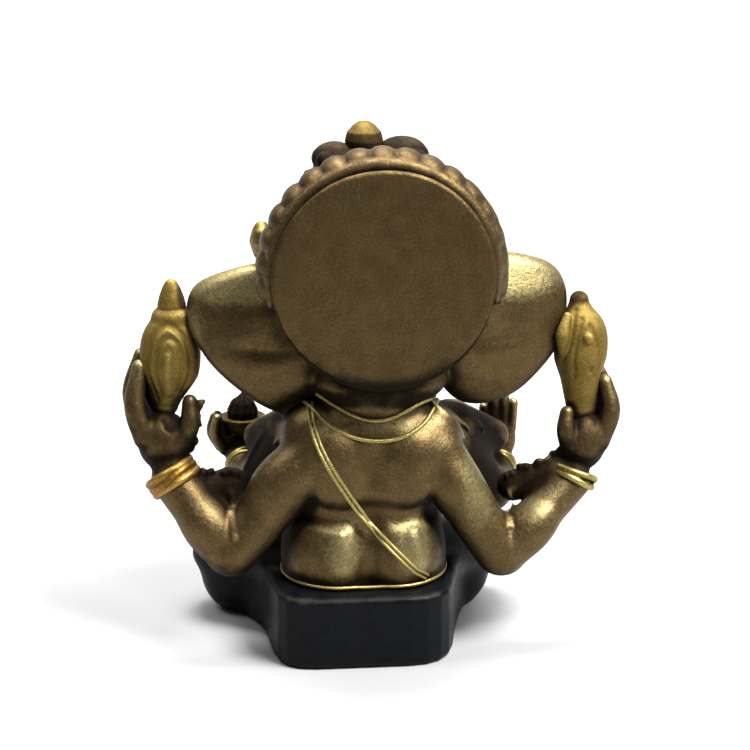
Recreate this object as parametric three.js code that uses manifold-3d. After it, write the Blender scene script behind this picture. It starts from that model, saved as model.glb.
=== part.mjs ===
// A small seated four-armed elephant-headed deity figure, cast in one piece and painted.
// Units are millimetres, +Z is up, the face looks along -Y and the figure's left is +X.
// The casting is divided where the sculptor divided it: each limb, ornament and held thing is a
// solid of its own, carved back from the solids listed before it so that none of them touch.
import * as THREE from "three";
import { mergeVertices } from "three/addons/utils/BufferGeometryUtils.js";
import Module from "manifold-3d";

const wasm = await Module();
wasm.setup();

// Driving dimensions.
const GAP = 0.3; // clear space between neighbouring solids
const SMOOTHING = 0.03; // edges shorter than this are closed up in a carved solid
const RING_SIDES = 5; // sides of the round cord used for bangles and necklaces
const LIMB_SIDES = 10; // sides of an arm or a leg
const LIMB_CAP_STEPS = 3; // rings in each rounded end of a limb
const BLOB_SIDES = 12;
const BLOB_RINGS = 8;
const DISC_RADIUS = 14.3; // flat round plate behind the crown
const DISC_THICKNESS = 2.2;
const DISC_BACK = 12.2; // how far back the plate's flat face stands
const DISC_CENTRE = [-0.2, 52.0]; // across, up
const PETAL_COUNT = 17;
const PETAL_RING_RADIUS = 14.2;
const PETAL_RING_RISE = 0.5; // the ring's centre above the plate's
const PETAL_FIRST_ANGLE = -12; // degrees above level, figure's left
const PETAL_LAST_ANGLE = 192;
const PETAL_BAND_WIDTH = 3.2;
const PETAL_HEIGHT = 1.4;
const PETAL_DEPTH = 5.8;
const PETAL_STEPS = 4; // straight edges round each petal
const PLINTH_HEIGHT = 5.6;
const SEAT_TOP = 9.7;
const THREAD_RADIUS = 0.42; // sacred thread
const NECKLACE_RADIUS = 0.55;
const BANGLE_RADIUS = 0.75;

// Finishes.
const BRONZE = new THREE.MeshStandardMaterial({ color: 0x6f5c3a, roughness: 0.45, metalness: 0.75 });
const GOLD = new THREE.MeshStandardMaterial({ color: 0x9a7a34, roughness: 0.35, metalness: 0.85 });
const BLACK = new THREE.MeshStandardMaterial({ color: 0x1d1e20, roughness: 0.4, metalness: 0.0 });

// ---------- Basic solids ----------
// Each maker returns a shape: a function of `grow`, which swells the solid by that many millimetres.

function solidFrom(geometry) {
  geometry.deleteAttribute("normal");
  geometry.deleteAttribute("uv");
  const merged = mergeVertices(geometry, 1e-4);
  const mesh = new wasm.Mesh({
    numProp: 3,
    vertProperties: merged.attributes.position.array,
    triVerts: new Uint32Array(merged.index.array),
  });
  return new wasm.Manifold(mesh);
}

function blob(centre, radii, turn = [0, 0, 0], sides = BLOB_SIDES, rings = BLOB_RINGS) {
  return (grow) => {
    const geometry = new THREE.SphereGeometry(1, sides, rings);
    geometry.scale(radii[0] + grow, radii[1] + grow, radii[2] + grow);
    const angles = turn.map(THREE.MathUtils.degToRad);
    geometry.applyMatrix4(new THREE.Matrix4().makeRotationFromEuler(new THREE.Euler(...angles)));
    geometry.translate(...centre);
    return solidFrom(geometry);
  };
}

// A round limb that tapers between two rounded ends.
function limb(start, startRadius, end, endRadius, sides = LIMB_SIDES) {
  return (grow) => {
    const from = new THREE.Vector3(...start);
    const along = new THREE.Vector3(...end).sub(from);
    const length = along.length();
    const near = startRadius + grow;
    const far = endRadius + grow;
    const profile = [];
    const steps = sides < LIMB_SIDES ? LIMB_CAP_STEPS - 1 : LIMB_CAP_STEPS;
    for (let i = 0; i <= steps; i += 1) {
      const angle = (-Math.PI / 2) * (1 - i / steps);
      profile.push(new THREE.Vector2(i === 0 ? 0 : near * Math.cos(angle), near * Math.sin(angle)));
    }
    for (let i = 0; i <= steps; i += 1) {
      const angle = (Math.PI / 2) * (i / steps);
      const across = i === steps ? 0 : far * Math.cos(angle);
      profile.push(new THREE.Vector2(across, length + far * Math.sin(angle)));
    }
    const geometry = new THREE.LatheGeometry(profile, sides);
    const turn = new THREE.Quaternion().setFromUnitVectors(new THREE.Vector3(0, 1, 0), along.normalize());
    geometry.applyQuaternion(turn);
    geometry.translate(...start);
    return solidFrom(geometry);
  };
}

// A limb that bends: a straight turned limb whose rings are moved onto a smooth curve through the
// stations, each station being [point, radius].
function bentLimb(stations, rings = 8, sides = LIMB_SIDES) {
  return (grow) => {
    const curve = new THREE.CatmullRomCurve3(stations.map(([point]) => new THREE.Vector3(...point)));
    const radiusAt = (share) => {
      const place = share * (stations.length - 1);
      const before = Math.min(Math.floor(place), stations.length - 2);
      return THREE.MathUtils.lerp(stations[before][1], stations[before + 1][1], place - before) + grow;
    };
    const frames = curve.computeFrenetFrames(rings, false);
    const profile = [new THREE.Vector2(0, -1), new THREE.Vector2(0.7, -0.7)];
    for (let i = 0; i <= rings; i += 1) {
      profile.push(new THREE.Vector2(1, i));
    }
    profile.push(new THREE.Vector2(0.7, rings + 0.7), new THREE.Vector2(0, rings + 1));
    const geometry = new THREE.LatheGeometry(profile, sides);
    const vertices = geometry.attributes.position;
    for (let i = 0; i < vertices.count; i += 1) {
      const height = vertices.getY(i);
      const ring = THREE.MathUtils.clamp(Math.round(height), 0, rings);
      const share = ring / rings;
      const radius = radiusAt(share);
      const moved = curve
        .getPoint(share)
        .addScaledVector(frames.normals[ring], vertices.getX(i) * radius)
        .addScaledVector(frames.binormals[ring], -vertices.getZ(i) * radius);
      if (height < 0 || height > rings) {
        moved.addScaledVector(frames.tangents[ring], (height < 0 ? height : height - rings) * radius);
      }
      vertices.setXYZ(i, moved.x, moved.y, moved.z);
    }
    return solidFrom(geometry);
  };
}

// A body of revolution about a vertical line. The profile runs from the axis at the bottom to the
// axis at the top as [radius, height].
function turned(centre, profile, sides = 24) {
  return (grow) => {
    const last = profile.length - 1;
    const points = profile.map(([radius, height], i) => {
      const swell = i === 0 ? -grow : i === last ? grow : 0;
      return new THREE.Vector2(radius === 0 ? 0 : radius + grow, height + swell);
    });
    const geometry = new THREE.LatheGeometry(points, sides);
    geometry.rotateX(Math.PI / 2);
    geometry.translate(...centre);
    return solidFrom(geometry);
  };
}

// A flat slab with a rounded outline, lying level. Corners are [x, y], listed anticlockwise.
function slab(corners, bottom, top, cornerRadius, bevel) {
  return (grow) => {
    const outline = new THREE.Shape();
    const count = corners.length;
    corners.forEach((corner, i) => {
      const before = new THREE.Vector2(...corners[(i + count - 1) % count]);
      const here = new THREE.Vector2(...corner);
      const after = new THREE.Vector2(...corners[(i + 1) % count]);
      const entry = here.clone().add(before.sub(here).setLength(cornerRadius));
      const exit = here.clone().add(after.sub(here).setLength(cornerRadius));
      if (i === 0) {
        outline.moveTo(entry.x, entry.y);
      } else {
        outline.lineTo(entry.x, entry.y);
      }
      outline.quadraticCurveTo(here.x, here.y, exit.x, exit.y);
    });
    outline.closePath();
    const geometry = new THREE.ExtrudeGeometry(outline, {
      depth: top - bottom - 2 * bevel + 2 * grow,
      bevelEnabled: true,
      bevelThickness: bevel,
      bevelSize: bevel,
      bevelOffset: grow - bevel,
      bevelSegments: 2,
      curveSegments: 3,
    });
    geometry.translate(0, 0, bottom + bevel - grow);
    return solidFrom(geometry);
  };
}

// A round cord swept along a smooth open curve through the points.
function cord(points, radius, steps = 24) {
  return (grow) => {
    const path = new THREE.CatmullRomCurve3(points.map((p) => new THREE.Vector3(...p)));
    const section = new THREE.Shape();
    section.absarc(0, 0, radius + grow, 0, Math.PI * 2);
    const geometry = new THREE.ExtrudeGeometry(section, {
      steps,
      curveSegments: RING_SIDES,
      bevelEnabled: false,
      extrudePath: path,
    });
    return solidFrom(geometry);
  };
}

// A round cord that closes on itself: the sections of a torus, each moved onto a closed curve
// through the points.
function hoop(points, radius, steps = 24) {
  return (grow) => {
    const path = new THREE.CatmullRomCurve3(points.map((p) => new THREE.Vector3(...p)), true);
    const frames = path.computeFrenetFrames(steps, true);
    const geometry = new THREE.TorusGeometry(1, 0.5, RING_SIDES, steps);
    const vertices = geometry.attributes.position;
    for (let side = 0; side <= RING_SIDES; side += 1) {
      const angle = ((side % RING_SIDES) / RING_SIDES) * Math.PI * 2;
      for (let step = 0; step <= steps; step += 1) {
        const place = step % steps;
        const moved = path
          .getPoint(place / steps)
          .addScaledVector(frames.normals[place], (radius + grow) * Math.cos(angle))
          .addScaledVector(frames.binormals[place], -(radius + grow) * Math.sin(angle));
        vertices.setXYZ(side * (steps + 1) + step, moved.x, moved.y, moved.z);
      }
    }
    return solidFrom(geometry);
  };
}

// A bangle: a closed cord round a limb, square to the limb's direction.
function bangle(centre, direction, ringRadius, cordRadius, width = 1, sides = 18) {
  return (grow) => {
    const profile = [];
    for (let i = 0; i <= RING_SIDES; i += 1) {
      const angle = (i / RING_SIDES) * Math.PI * 2;
      const across = ringRadius + (cordRadius + grow) * Math.cos(angle);
      profile.push(new THREE.Vector2(across, width * (cordRadius + grow) * Math.sin(angle)));
    }
    const geometry = new THREE.LatheGeometry(profile, sides);
    const axis = new THREE.Vector3(...direction).normalize();
    geometry.applyQuaternion(new THREE.Quaternion().setFromUnitVectors(new THREE.Vector3(0, 1, 0), axis));
    geometry.translate(...centre);
    return solidFrom(geometry);
  };
}

function joined(...shapes) {
  return (grow) => shapes.map((shape) => shape(grow)).reduce((sum, next) => sum.add(next));
}

// ---------- Seat and legs ----------

const plinth = slab(
  [[13.8, 13], [-8.8, 13], [-11.4, 0], [-17.4, -14.8], [-10.4, -21.5], [14.4, -21.5], [22.0, -14.6], [15.2, 0]],
  0,
  PLINTH_HEIGHT,
  3.6,
  0.7,
);
const seat = slab(
  [[13.7, 12.9], [-8.7, 12.9], [-11.3, 0], [-14.2, -9], [19.4, -9], [15.1, 0]],
  PLINTH_HEIGHT + GAP,
  SEAT_TOP,
  3.2,
  0.9,
);
const leftThigh = joined(
  limb([9.5, -2.5, 10.2], 5.15, [21.3, -9.3, 9.65], 4.45),
  blob([18.6, -9.6, 6.6], [5.4, 5.2, 5.8]),
);
const rightThigh = joined(
  limb([-6.5, -2.5, 10.0], 5.2, [-16.2, -9.8, 9.0], 4.2),
  blob([-12.8, -9.8, 6.4], [4.6, 5.0, 5.6]),
);
const leftShin = limb([21.0, -11.5, 9.2], 4.0, [0.5, -16.2, 9.2], 2.7);
const rightShin = limb([-15.8, -12.5, 8.4], 3.8, [4.0, -19.0, 7.4], 2.3);
const leftFoot = joined(
  limb([0.2, -16.6, 9.8], 1.9, [-8.4, -15.6, 11.6], 1.6),
  blob([-9.6, -15.4, 11.9], [1.9, 1.9, 1.3]),
);
const rightFoot = joined(
  limb([4.6, -19.2, 7.6], 1.9, [12.6, -19.4, 7.7], 1.5),
  blob([14.0, -19.3, 7.8], [2.1, 1.9, 1.3]),
);
const leftAnklet = bangle([0.8, -16.4, 9.8], [-1, 0.1, 0.2], 2.5, 0.5);
const rightAnklet = bangle([5.0, -19.2, 7.6], [1, -0.05, 0], 2.4, 0.5);
const dhotiPleats = joined(
  limb([-2.6, -20.6, 6.4], 1.1, [-4.4, -22.0, 2.0], 1.0, 8),
  limb([-1.0, -21.0, 6.4], 1.1, [-1.6, -22.2, 1.5], 1.0, 8),
  limb([0.8, -21.0, 6.4], 1.1, [1.2, -22.2, 1.5], 1.0, 8),
  limb([2.4, -20.6, 6.4], 1.1, [4.0, -22.0, 2.0], 1.0, 8),
);

// ---------- Trunk of the body ----------

const torso = joined(
  blob([5.6, 2.4, 12.6], [7.6, 8.1, 9.4]),
  blob([-2.2, 2.4, 12.4], [7.4, 8.1, 9.4]),
  blob([1.0, 2.6, 26.4], [11.2, 6.8, 8.4]),
  limb([-6.8, 3.2, 29.4], 4.4, [8.6, 3.2, 30.0], 4.4),
);
const belly = blob([1.6, -4.6, 18.0], [12.0, 9.8, 8.8]);
const waistBand = hoop(
  [
    [13.2, -1.0, 10.6], [11.6, 6.6, 10.6], [6.2, 10.2, 10.4], [1.8, 10.7, 10.2],
    [-3.0, 10.2, 10.4], [-7.4, 6.8, 10.6], [-9.2, -1.0, 10.6], [-7.4, -9.4, 11.0],
    [1.7, -14.0, 11.4], [10.6, -9.4, 11.0],
  ],
  0.6,
  24,
);
const sacredThread = cord(
  [
    [9.0, 4.0, 34.6], [9.0, 8.0, 31.6], [6.4, 9.7, 26.2], [2.6, 9.7, 20.6],
    [-1.8, 10.4, 14.8], [-6.6, 9.9, 11.0],
  ],
  THREAD_RADIUS,
  12,
);
const neck = joined(
  limb([0.4, 1.6, 31.6], 6.4, [-0.4, 1.0, 37.0], 6.4),
  blob([-0.6, 2.6, 36.4], [10.2, 6.6, 4.6]),
);
const upperNecklace = hoop(
  [
    [8.0, 3.6, 35.2], [4.6, 7.2, 33.6], [0.0, 8.6, 32.4], [-4.4, 7.4, 33.8], [-7.6, 3.6, 35.6],
    [-6.6, -2.6, 34.0], [0.4, -6.6, 31.0], [7.4, -2.6, 33.4],
  ],
  NECKLACE_RADIUS,
  20,
);
const lowerNecklace = hoop(
  [
    [9.6, 3.4, 34.0], [6.2, 8.4, 31.6], [0.2, 10.0, 29.9], [-5.6, 8.6, 31.6], [-8.8, 3.4, 34.4],
    [-8.0, -4.0, 31.0], [0.8, -9.8, 26.4], [9.2, -4.0, 30.6],
  ],
  NECKLACE_RADIUS,
  20,
);

// ---------- Head, built about its own centre line and then set on the neck ----------

const HEAD_LEAN = new THREE.Matrix4()
  .makeTranslation(-0.5, 0, 44)
  .multiply(new THREE.Matrix4().makeRotationZ(THREE.MathUtils.degToRad(2.5)))
  .multiply(new THREE.Matrix4().makeRotationY(THREE.MathUtils.degToRad(1.5)))
  .multiply(new THREE.Matrix4().makeTranslation(0, 0, -44));

function onHead(shape) {
  return (grow) => shape(grow).transform(HEAD_LEAN.elements);
}

const head = onHead(
  joined(
    blob([0, -0.6, 45.6], [11.2, 10.2, 9.6]),
    blob([4.6, -4.6, 41.4], [5.8, 5.6, 5.6]),
    blob([-4.6, -4.6, 41.4], [5.8, 5.6, 5.6]),
  ),
);
const trunk = bentLimb(
  [
    [[-0.9, -8.6, 45.0], 4.6],
    [[-0.8, -12.4, 39.8], 4.1],
    [[-0.2, -14.8, 34.6], 3.6],
    [[1.2, -16.2, 29.6], 3.2],
    [[3.4, -17.2, 25.4], 2.8],
    [[6.8, -17.8, 22.8], 2.4],
    [[10.4, -18.0, 22.8], 2.1],
    [[12.4, -17.8, 24.8], 1.8],
  ],
  14,
);
const leftTusk = onHead(limb([4.8, -9.4, 38.4], 1.5, [6.4, -12.6, 36.8], 1.2, 7));
const rightTusk = onHead(
  bentLimb([[[-4.8, -9.4, 38.4], 1.5], [[-6.6, -13.4, 36.4], 1.15], [[-7.6, -16.6, 36.6], 0.55]], 5, 8),
);
// An ear is a thin curved shell: the skin of a large egg, trimmed to a fan-shaped outline.
const LEFT_EAR_OUTLINE = [
  [7.5, 50.5], [10, 52.2], [14.5, 53.0], [19.4, 52.2], [23.6, 50.4], [25.4, 47.6],
  [25.0, 43.8], [22.6, 40.0], [19.4, 36.6], [15.8, 33.6], [12.4, 32.0], [9.5, 33.2], [7.2, 38],
];
const RIGHT_EAR_OUTLINE = [
  [7.5, 50.5], [10, 52.2], [14.5, 53.0], [19.4, 52.2], [23.6, 50.4], [25.6, 47.4],
  [25.6, 43.4], [24.2, 39.6], [21.2, 36.0], [17.6, 33.0], [13, 31.6], [9.5, 33.2], [7.2, 38],
];
function fanEar(edge) {
  return (grow) => {
    const outline = new THREE.Shape();
    outline.moveTo(...edge[0]);
    outline.splineThru([...edge.slice(1), edge[0]].map((p) => new THREE.Vector2(...p)));
    const cutter = new THREE.ExtrudeGeometry(outline, {
      depth: 26,
      bevelEnabled: true,
      bevelThickness: 0.1,
      bevelSize: 0.1,
      bevelOffset: grow - 0.1,
      bevelSegments: 1,
      curveSegments: 2,
    });
    cutter.rotateX(Math.PI / 2);
    cutter.translate(0, 14, 0);
    const outer = blob([14.5, -7, 42.5], [15.5 + grow, 11.6 + grow, 16 + grow], [0, 0, 0], 16, 12)(0);
    const inner = blob([14.5, -7, 42.5], [13.6 - grow, 9.2 - grow, 14.1 - grow], [0, 0, 0], 16, 12)(0);
    const front = blob([14.5, -17, 42.5], [40, 14.2 - grow, 40], [0, 0, 0], 16, 12)(0);
    const roll = limb([8, 1.8, 46.4], 4.4, [20.4, -1.2, 46.2], 3.6)(grow);
    return outer.add(roll).subtract(inner).intersect(solidFrom(cutter)).subtract(front);
  };
}
const leftEar = onHead(fanEar(LEFT_EAR_OUTLINE));
const rightEar = (grow) => fanEar(RIGHT_EAR_OUTLINE)(grow).mirror([1, 0, 0]).transform(HEAD_LEAN.elements);

// ---------- Crown ----------

const haloDisc = (grow) => {
  const outline = new THREE.Shape();
  outline.absarc(0, 0, DISC_RADIUS, 0, Math.PI * 2);
  const bevel = 0.5;
  const geometry = new THREE.ExtrudeGeometry(outline, {
    depth: DISC_THICKNESS - 2 * bevel + 2 * grow,
    bevelEnabled: true,
    bevelThickness: bevel,
    bevelSize: bevel,
    bevelOffset: grow - bevel,
    bevelSegments: 2,
    curveSegments: 24,
  });
  geometry.rotateX(Math.PI / 2);
  geometry.translate(DISC_CENTRE[0], DISC_BACK - bevel + grow, DISC_CENTRE[1]);
  return solidFrom(geometry);
};

// The ring in front of the plate: a band whose outer edge is a row of round petals.
const petalRing = (grow) => {
  const first = THREE.MathUtils.degToRad(PETAL_FIRST_ANGLE);
  const last = THREE.MathUtils.degToRad(PETAL_LAST_ANGLE);
  const pitch = (last - first) / PETAL_COUNT;
  const outline = new THREE.Shape();
  outline.absarc(0, 0, PETAL_RING_RADIUS - PETAL_BAND_WIDTH, last, first, true);
  for (let i = 0; i < PETAL_COUNT; i += 1) {
    for (let step = 0; step <= PETAL_STEPS; step += 1) {
      const share = step / PETAL_STEPS;
      const angle = first + pitch * (i + 0.08 + 0.84 * share);
      const radius = PETAL_RING_RADIUS + PETAL_HEIGHT * Math.sin(Math.PI * share);
      outline.lineTo(radius * Math.cos(angle), radius * Math.sin(angle));
    }
  }
  outline.closePath();
  const bevel = 0.5;
  const geometry = new THREE.ExtrudeGeometry(outline, {
    depth: PETAL_DEPTH - 2 * bevel + 2 * grow,
    bevelEnabled: true,
    bevelThickness: bevel,
    bevelSize: bevel,
    bevelOffset: grow - bevel,
    bevelSegments: 1,
    curveSegments: 14,
  });
  geometry.rotateX(Math.PI / 2);
  const front = DISC_BACK - DISC_THICKNESS - GAP - bevel + grow;
  geometry.translate(DISC_CENTRE[0], front, DISC_CENTRE[1] + PETAL_RING_RISE);
  return solidFrom(geometry);
};

const crownBand = onHead(
  turned([0, -2.6, 0], [[0, 50.4], [9.6, 50.4], [10.6, 51.0], [10.9, 52.4], [10.6, 53.8], [9.8, 54.4], [0, 54.4]]),
);
const crownDome = onHead(
  turned(
    [0.3, -3.6, 0],
    [
      [0, 54.7], [9.8, 54.7], [10.2, 56.4], [9.4, 58.2], [9.6, 59.0], [9.0, 61.0], [8.2, 62.2],
      [8.2, 63.2], [7.2, 64.9], [6.2, 65.6], [5.4, 66.6], [3.6, 67.3], [0, 67.3],
    ],
    18,
  ),
);
const finial = onHead(
  turned(
    [0.8, -4.4, 0],
    [[0, 65.9], [2.0, 65.9], [2.6, 67.0], [2.5, 68.2], [1.8, 69.3], [0.8, 69.9], [0, 70.05]],
    16,
  ),
);
const crownFront = onHead(
  joined(blob([0, -13.0, 55.2], [3.4, 1.6, 4.2]), blob([0, -12.4, 60.2], [1.7, 1.3, 2.2], [0, 0, 0], 12, 8)),
);
const leftBoss = onHead(blob([15.4, -0.4, 55.6], [1.8, 2.8, 2.8], [0, 0, 20], 14, 10));
const rightBoss = onHead(blob([-15.4, -0.4, 55.6], [1.8, 2.8, 2.8], [0, 0, -20], 14, 10));

// ---------- Rear pair of arms ----------

const rearLeftUpperArm = limb([8.8, 4.6, 27.0], 4.1, [19.4, 6.0, 14.4], 3.3);
const rearLeftForearm = limb([20.0, 5.8, 14.4], 3.5, [27.2, 2.6, 23.6], 3.0);
const rearLeftHand = joined(
  blob([28.4, 0.6, 28.4], [4.0, 3.4, 4.2], [0, 0, 0], 12, 8),
  bentLimb([[[30.4, 0.8, 29.6], 2.3], [[31.3, 0.2, 35.0], 1.6], [[30.6, -0.8, 39.4], 1.1]], 4, 8),
  limb([26.4, 0.2, 29.6], 1.8, [24.8, -0.6, 34.0], 1.3, 8),
);
const rearLeftBangle = bangle([27.2, 2.5, 23.9], [0.55, -0.24, 0.80], 3.2, BANGLE_RADIUS, 1.3);
const conch = joined(
  blob([27.1, -0.4, 40.2], [4.2, 3.3, 5.8]),
  limb([27.2, -0.2, 37.5], 3.4, [27.9, -0.2, 33.4], 1.6),
  limb([26.6, -1.0, 45.6], 2.3, [26.8, -1.2, 48.6], 0.9, 7),
);
const rearRightUpperArm = limb([-7.6, 4.6, 27.0], 4.1, [-16.2, 6.0, 13.2], 3.3);
const rearRightForearm = limb([-16.9, 5.8, 13.1], 3.4, [-26.6, 2.4, 21.7], 2.7);
const rearRightHand = joined(
  blob([-28.6, 0.8, 26.8], [3.3, 3.1, 4.0], [0, 0, 0], 12, 8),
  bentLimb([[[-29.8, 0.4, 27.2], 2.3], [[-31.2, -0.4, 32.0], 1.6], [[-30.4, -1.2, 35.6], 1.1]], 4, 8),
  limb([-26.6, 0.6, 27.4], 1.7, [-25.9, 0.0, 31.0], 1.2, 8),
);
const rearRightBangle = bangle([-27.0, 2.2, 22.3], [-0.40, -0.24, 0.88], 2.9, BANGLE_RADIUS, 1.2);
const lotusBud = joined(
  blob([-27.9, -0.4, 40.6], [3.7, 3.2, 5.4]),
  limb([-27.7, -0.2, 38.0], 3.2, [-28.0, 0.0, 31.6], 2.0),
  limb([-27.4, -0.8, 43.2], 2.4, [-27.6, -1.2, 46.4], 1.2, 7),
);

// ---------- Front pair of arms ----------

const frontLeftUpperArm = joined(
  limb([9.6, -1.6, 28.2], 3.9, [16.4, -7.4, 19.0], 3.3),
  blob([13.4, -6.6, 25.6], [3.2, 4.4, 4.2], [0, -30, 0], 10, 7),
);
const frontLeftForearm = limb([16.6, -8.0, 18.8], 3.3, [17.6, -13.4, 20.4], 2.6);
const frontLeftHand = joined(
  blob([18.0, -15.4, 21.8], [3.2, 3.0, 1.9]),
  limb([20.2, -14.6, 22.2], 1.2, [20.9, -12.6, 27.6], 0.9, 7),
  limb([20.4, -16.4, 22.2], 1.2, [21.4, -16.4, 25.8], 0.9, 7),
);
const frontLeftBangle = bangle([17.5, -12.6, 20.2], [0.2, -0.94, 0.28], 2.65, 0.5);
const modakBowl = turned(
  [17.6, -15.8, 0],
  [[0, 24.0], [1.6, 24.0], [2.8, 25.0], [3.3, 26.4], [0, 26.4]],
  16,
);
const modak = turned(
  [17.6, -15.8, 0],
  [[0, 26.7], [2.0, 26.7], [2.2, 27.6], [1.5, 28.8], [0.6, 30.0], [0, 30.4]],
  14,
);
const frontRightUpperArm = joined(
  limb([-8.4, -1.6, 27.8], 3.9, [-16.6, -6.6, 17.8], 3.3),
  blob([-14.4, -6.6, 24.6], [3.6, 4.4, 4.8], [0, 30, 0], 10, 7),
);
const frontRightForearm = limb([-16.8, -7.2, 17.8], 3.3, [-18.6, -12.2, 19.4], 2.6);
const frontRightHand = joined(
  blob([-19.0, -13.6, 23.2], [2.7, 1.6, 3.1]),
  limb([-20.6, -13.6, 25.0], 0.95, [-20.9, -13.4, 28.4], 0.75, 7),
  limb([-19.4, -13.6, 25.4], 1.0, [-19.5, -13.4, 29.4], 0.75, 7),
  limb([-18.0, -13.6, 25.4], 1.0, [-18.0, -13.4, 29.2], 0.75, 7),
  limb([-16.8, -13.6, 24.6], 0.9, [-16.6, -13.4, 27.6], 0.7, 7),
  limb([-16.8, -14.0, 22.6], 1.1, [-15.0, -15.0, 24.4], 0.8, 7),
);
const frontRightBangle = bangle([-18.5, -11.7, 19.4], [-0.3, -0.85, 0.35], 2.65, 0.5);

// ---------- The figure ----------
// Earlier solids are whole; each later one gives way to those before it.

const PIECES = [
  ["left_anklet", leftAnklet, GOLD],
  ["right_anklet", rightAnklet, GOLD],
  ["rear_left_bangle", rearLeftBangle, GOLD],
  ["rear_right_bangle", rearRightBangle, GOLD],
  ["front_left_bangle", frontLeftBangle, GOLD],
  ["front_right_bangle", frontRightBangle, GOLD],
  ["conch", conch, GOLD],
  ["lotus_bud", lotusBud, GOLD],
  ["modak_bowl", modakBowl, GOLD],
  ["modak", modak, BRONZE],
  ["waist_band", waistBand, GOLD],
  ["sacred_thread", sacredThread, GOLD],
  ["necklace_upper", upperNecklace, GOLD],
  ["necklace_lower", lowerNecklace, GOLD],
  ["crown_finial", finial, GOLD],
  ["crown_front_jewel", crownFront, GOLD],
  ["left_crown_boss", leftBoss, GOLD],
  ["right_crown_boss", rightBoss, GOLD],
  ["halo_disc", haloDisc, BRONZE],
  ["crown_petal_ring", petalRing, BRONZE],
  ["crown_dome", crownDome, BRONZE],
  ["crown_band", crownBand, GOLD],
  ["left_tusk", leftTusk, BRONZE],
  ["right_tusk", rightTusk, BRONZE],
  ["trunk", trunk, BRONZE],
  ["head", head, BRONZE],
  ["left_ear", leftEar, BRONZE],
  ["right_ear", rightEar, BRONZE],
  ["rear_left_hand", rearLeftHand, BRONZE],
  ["rear_right_hand", rearRightHand, BRONZE],
  ["front_left_hand", frontLeftHand, BRONZE],
  ["front_right_hand", frontRightHand, BRONZE],
  ["rear_left_forearm", rearLeftForearm, BRONZE],
  ["rear_right_forearm", rearRightForearm, BRONZE],
  ["front_left_forearm", frontLeftForearm, BRONZE],
  ["front_right_forearm", frontRightForearm, BRONZE],
  ["rear_left_upper_arm", rearLeftUpperArm, BRONZE],
  ["rear_right_upper_arm", rearRightUpperArm, BRONZE],
  ["front_left_upper_arm", frontLeftUpperArm, BRONZE],
  ["front_right_upper_arm", frontRightUpperArm, BRONZE],
  ["neck", neck, BRONZE],
  ["belly", belly, BRONZE],
  ["torso", torso, BRONZE],
  ["left_foot", leftFoot, BRONZE],
  ["right_foot", rightFoot, BRONZE],
  ["dhoti_pleats", dhotiPleats, BLACK],
  ["right_shin", rightShin, BLACK],
  ["left_shin", leftShin, BLACK],
  ["left_thigh", leftThigh, BLACK],
  ["right_thigh", rightThigh, BLACK],
  ["dhoti_seat", seat, BLACK],
  ["plinth", plinth, BLACK],
];

function overlapping(a, b) {
  return [0, 1, 2].every((i) => a.min[i] < b.max[i] && b.min[i] < a.max[i]);
}

// The biggest of the parts that carving leaves, so that no sliver becomes a body of its own.
function largestOf(solid) {
  return solid.decompose().reduce((best, next) => (next.volume() > best.volume() ? next : best));
}

function geometryOf(solid) {
  const mesh = solid.getMesh();
  const geometry = new THREE.BufferGeometry();
  geometry.setAttribute("position", new THREE.BufferAttribute(new Float32Array(mesh.vertProperties), 3));
  geometry.setIndex(new THREE.BufferAttribute(new Uint32Array(mesh.triVerts), 1));
  geometry.computeVertexNormals();
  return geometry;
}

const figure = new THREE.Group();
const placed = [];
for (const [name, shape, material] of PIECES) {
  let solid = shape(0);
  for (const other of placed) {
    if (overlapping(solid.boundingBox(), other.reach)) {
      solid = solid.subtract(other.swollen);
    }
  }
  solid = largestOf(largestOf(solid).simplify(SMOOTHING));
  const swollen = shape(GAP);
  placed.push({ swollen, reach: swollen.boundingBox() });
  const mesh = new THREE.Mesh(geometryOf(solid), material);
  mesh.name = name;
  figure.add(mesh);
}

// Stand the figure on z = 0 with its box centred on the origin.
const box = new THREE.Box3().setFromObject(figure);
const middle = box.getCenter(new THREE.Vector3());
for (const mesh of figure.children) {
  mesh.geometry.translate(-middle.x, -middle.y, -box.min.z);
}

export default figure;
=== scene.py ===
# %% [markdown]
# # A small cast figure of Ganesha, seated and four-armed
#
# The real thing is one solid resin casting about 70 mm tall, painted by hand: antique bronze over
# the body, a brighter gold on what it wears and holds, and satin black on the dress and the
# plinth. This lesson rebuilds it in Blender around the CAD model of the same figure.
#
# The shapes are soft and run into each other, so the modelling is done the way a sculptor works
# in clay: lumps are added and smoothed together, then creases are pressed in. In Blender that is
# a *signed distance field*: a 3-D array of numbers that says how far each point is from the skin.
# Numpy does the arithmetic and OpenVDB, which Blender carries, turns the array into a mesh.

# %% Load the CAD frame
import math

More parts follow.
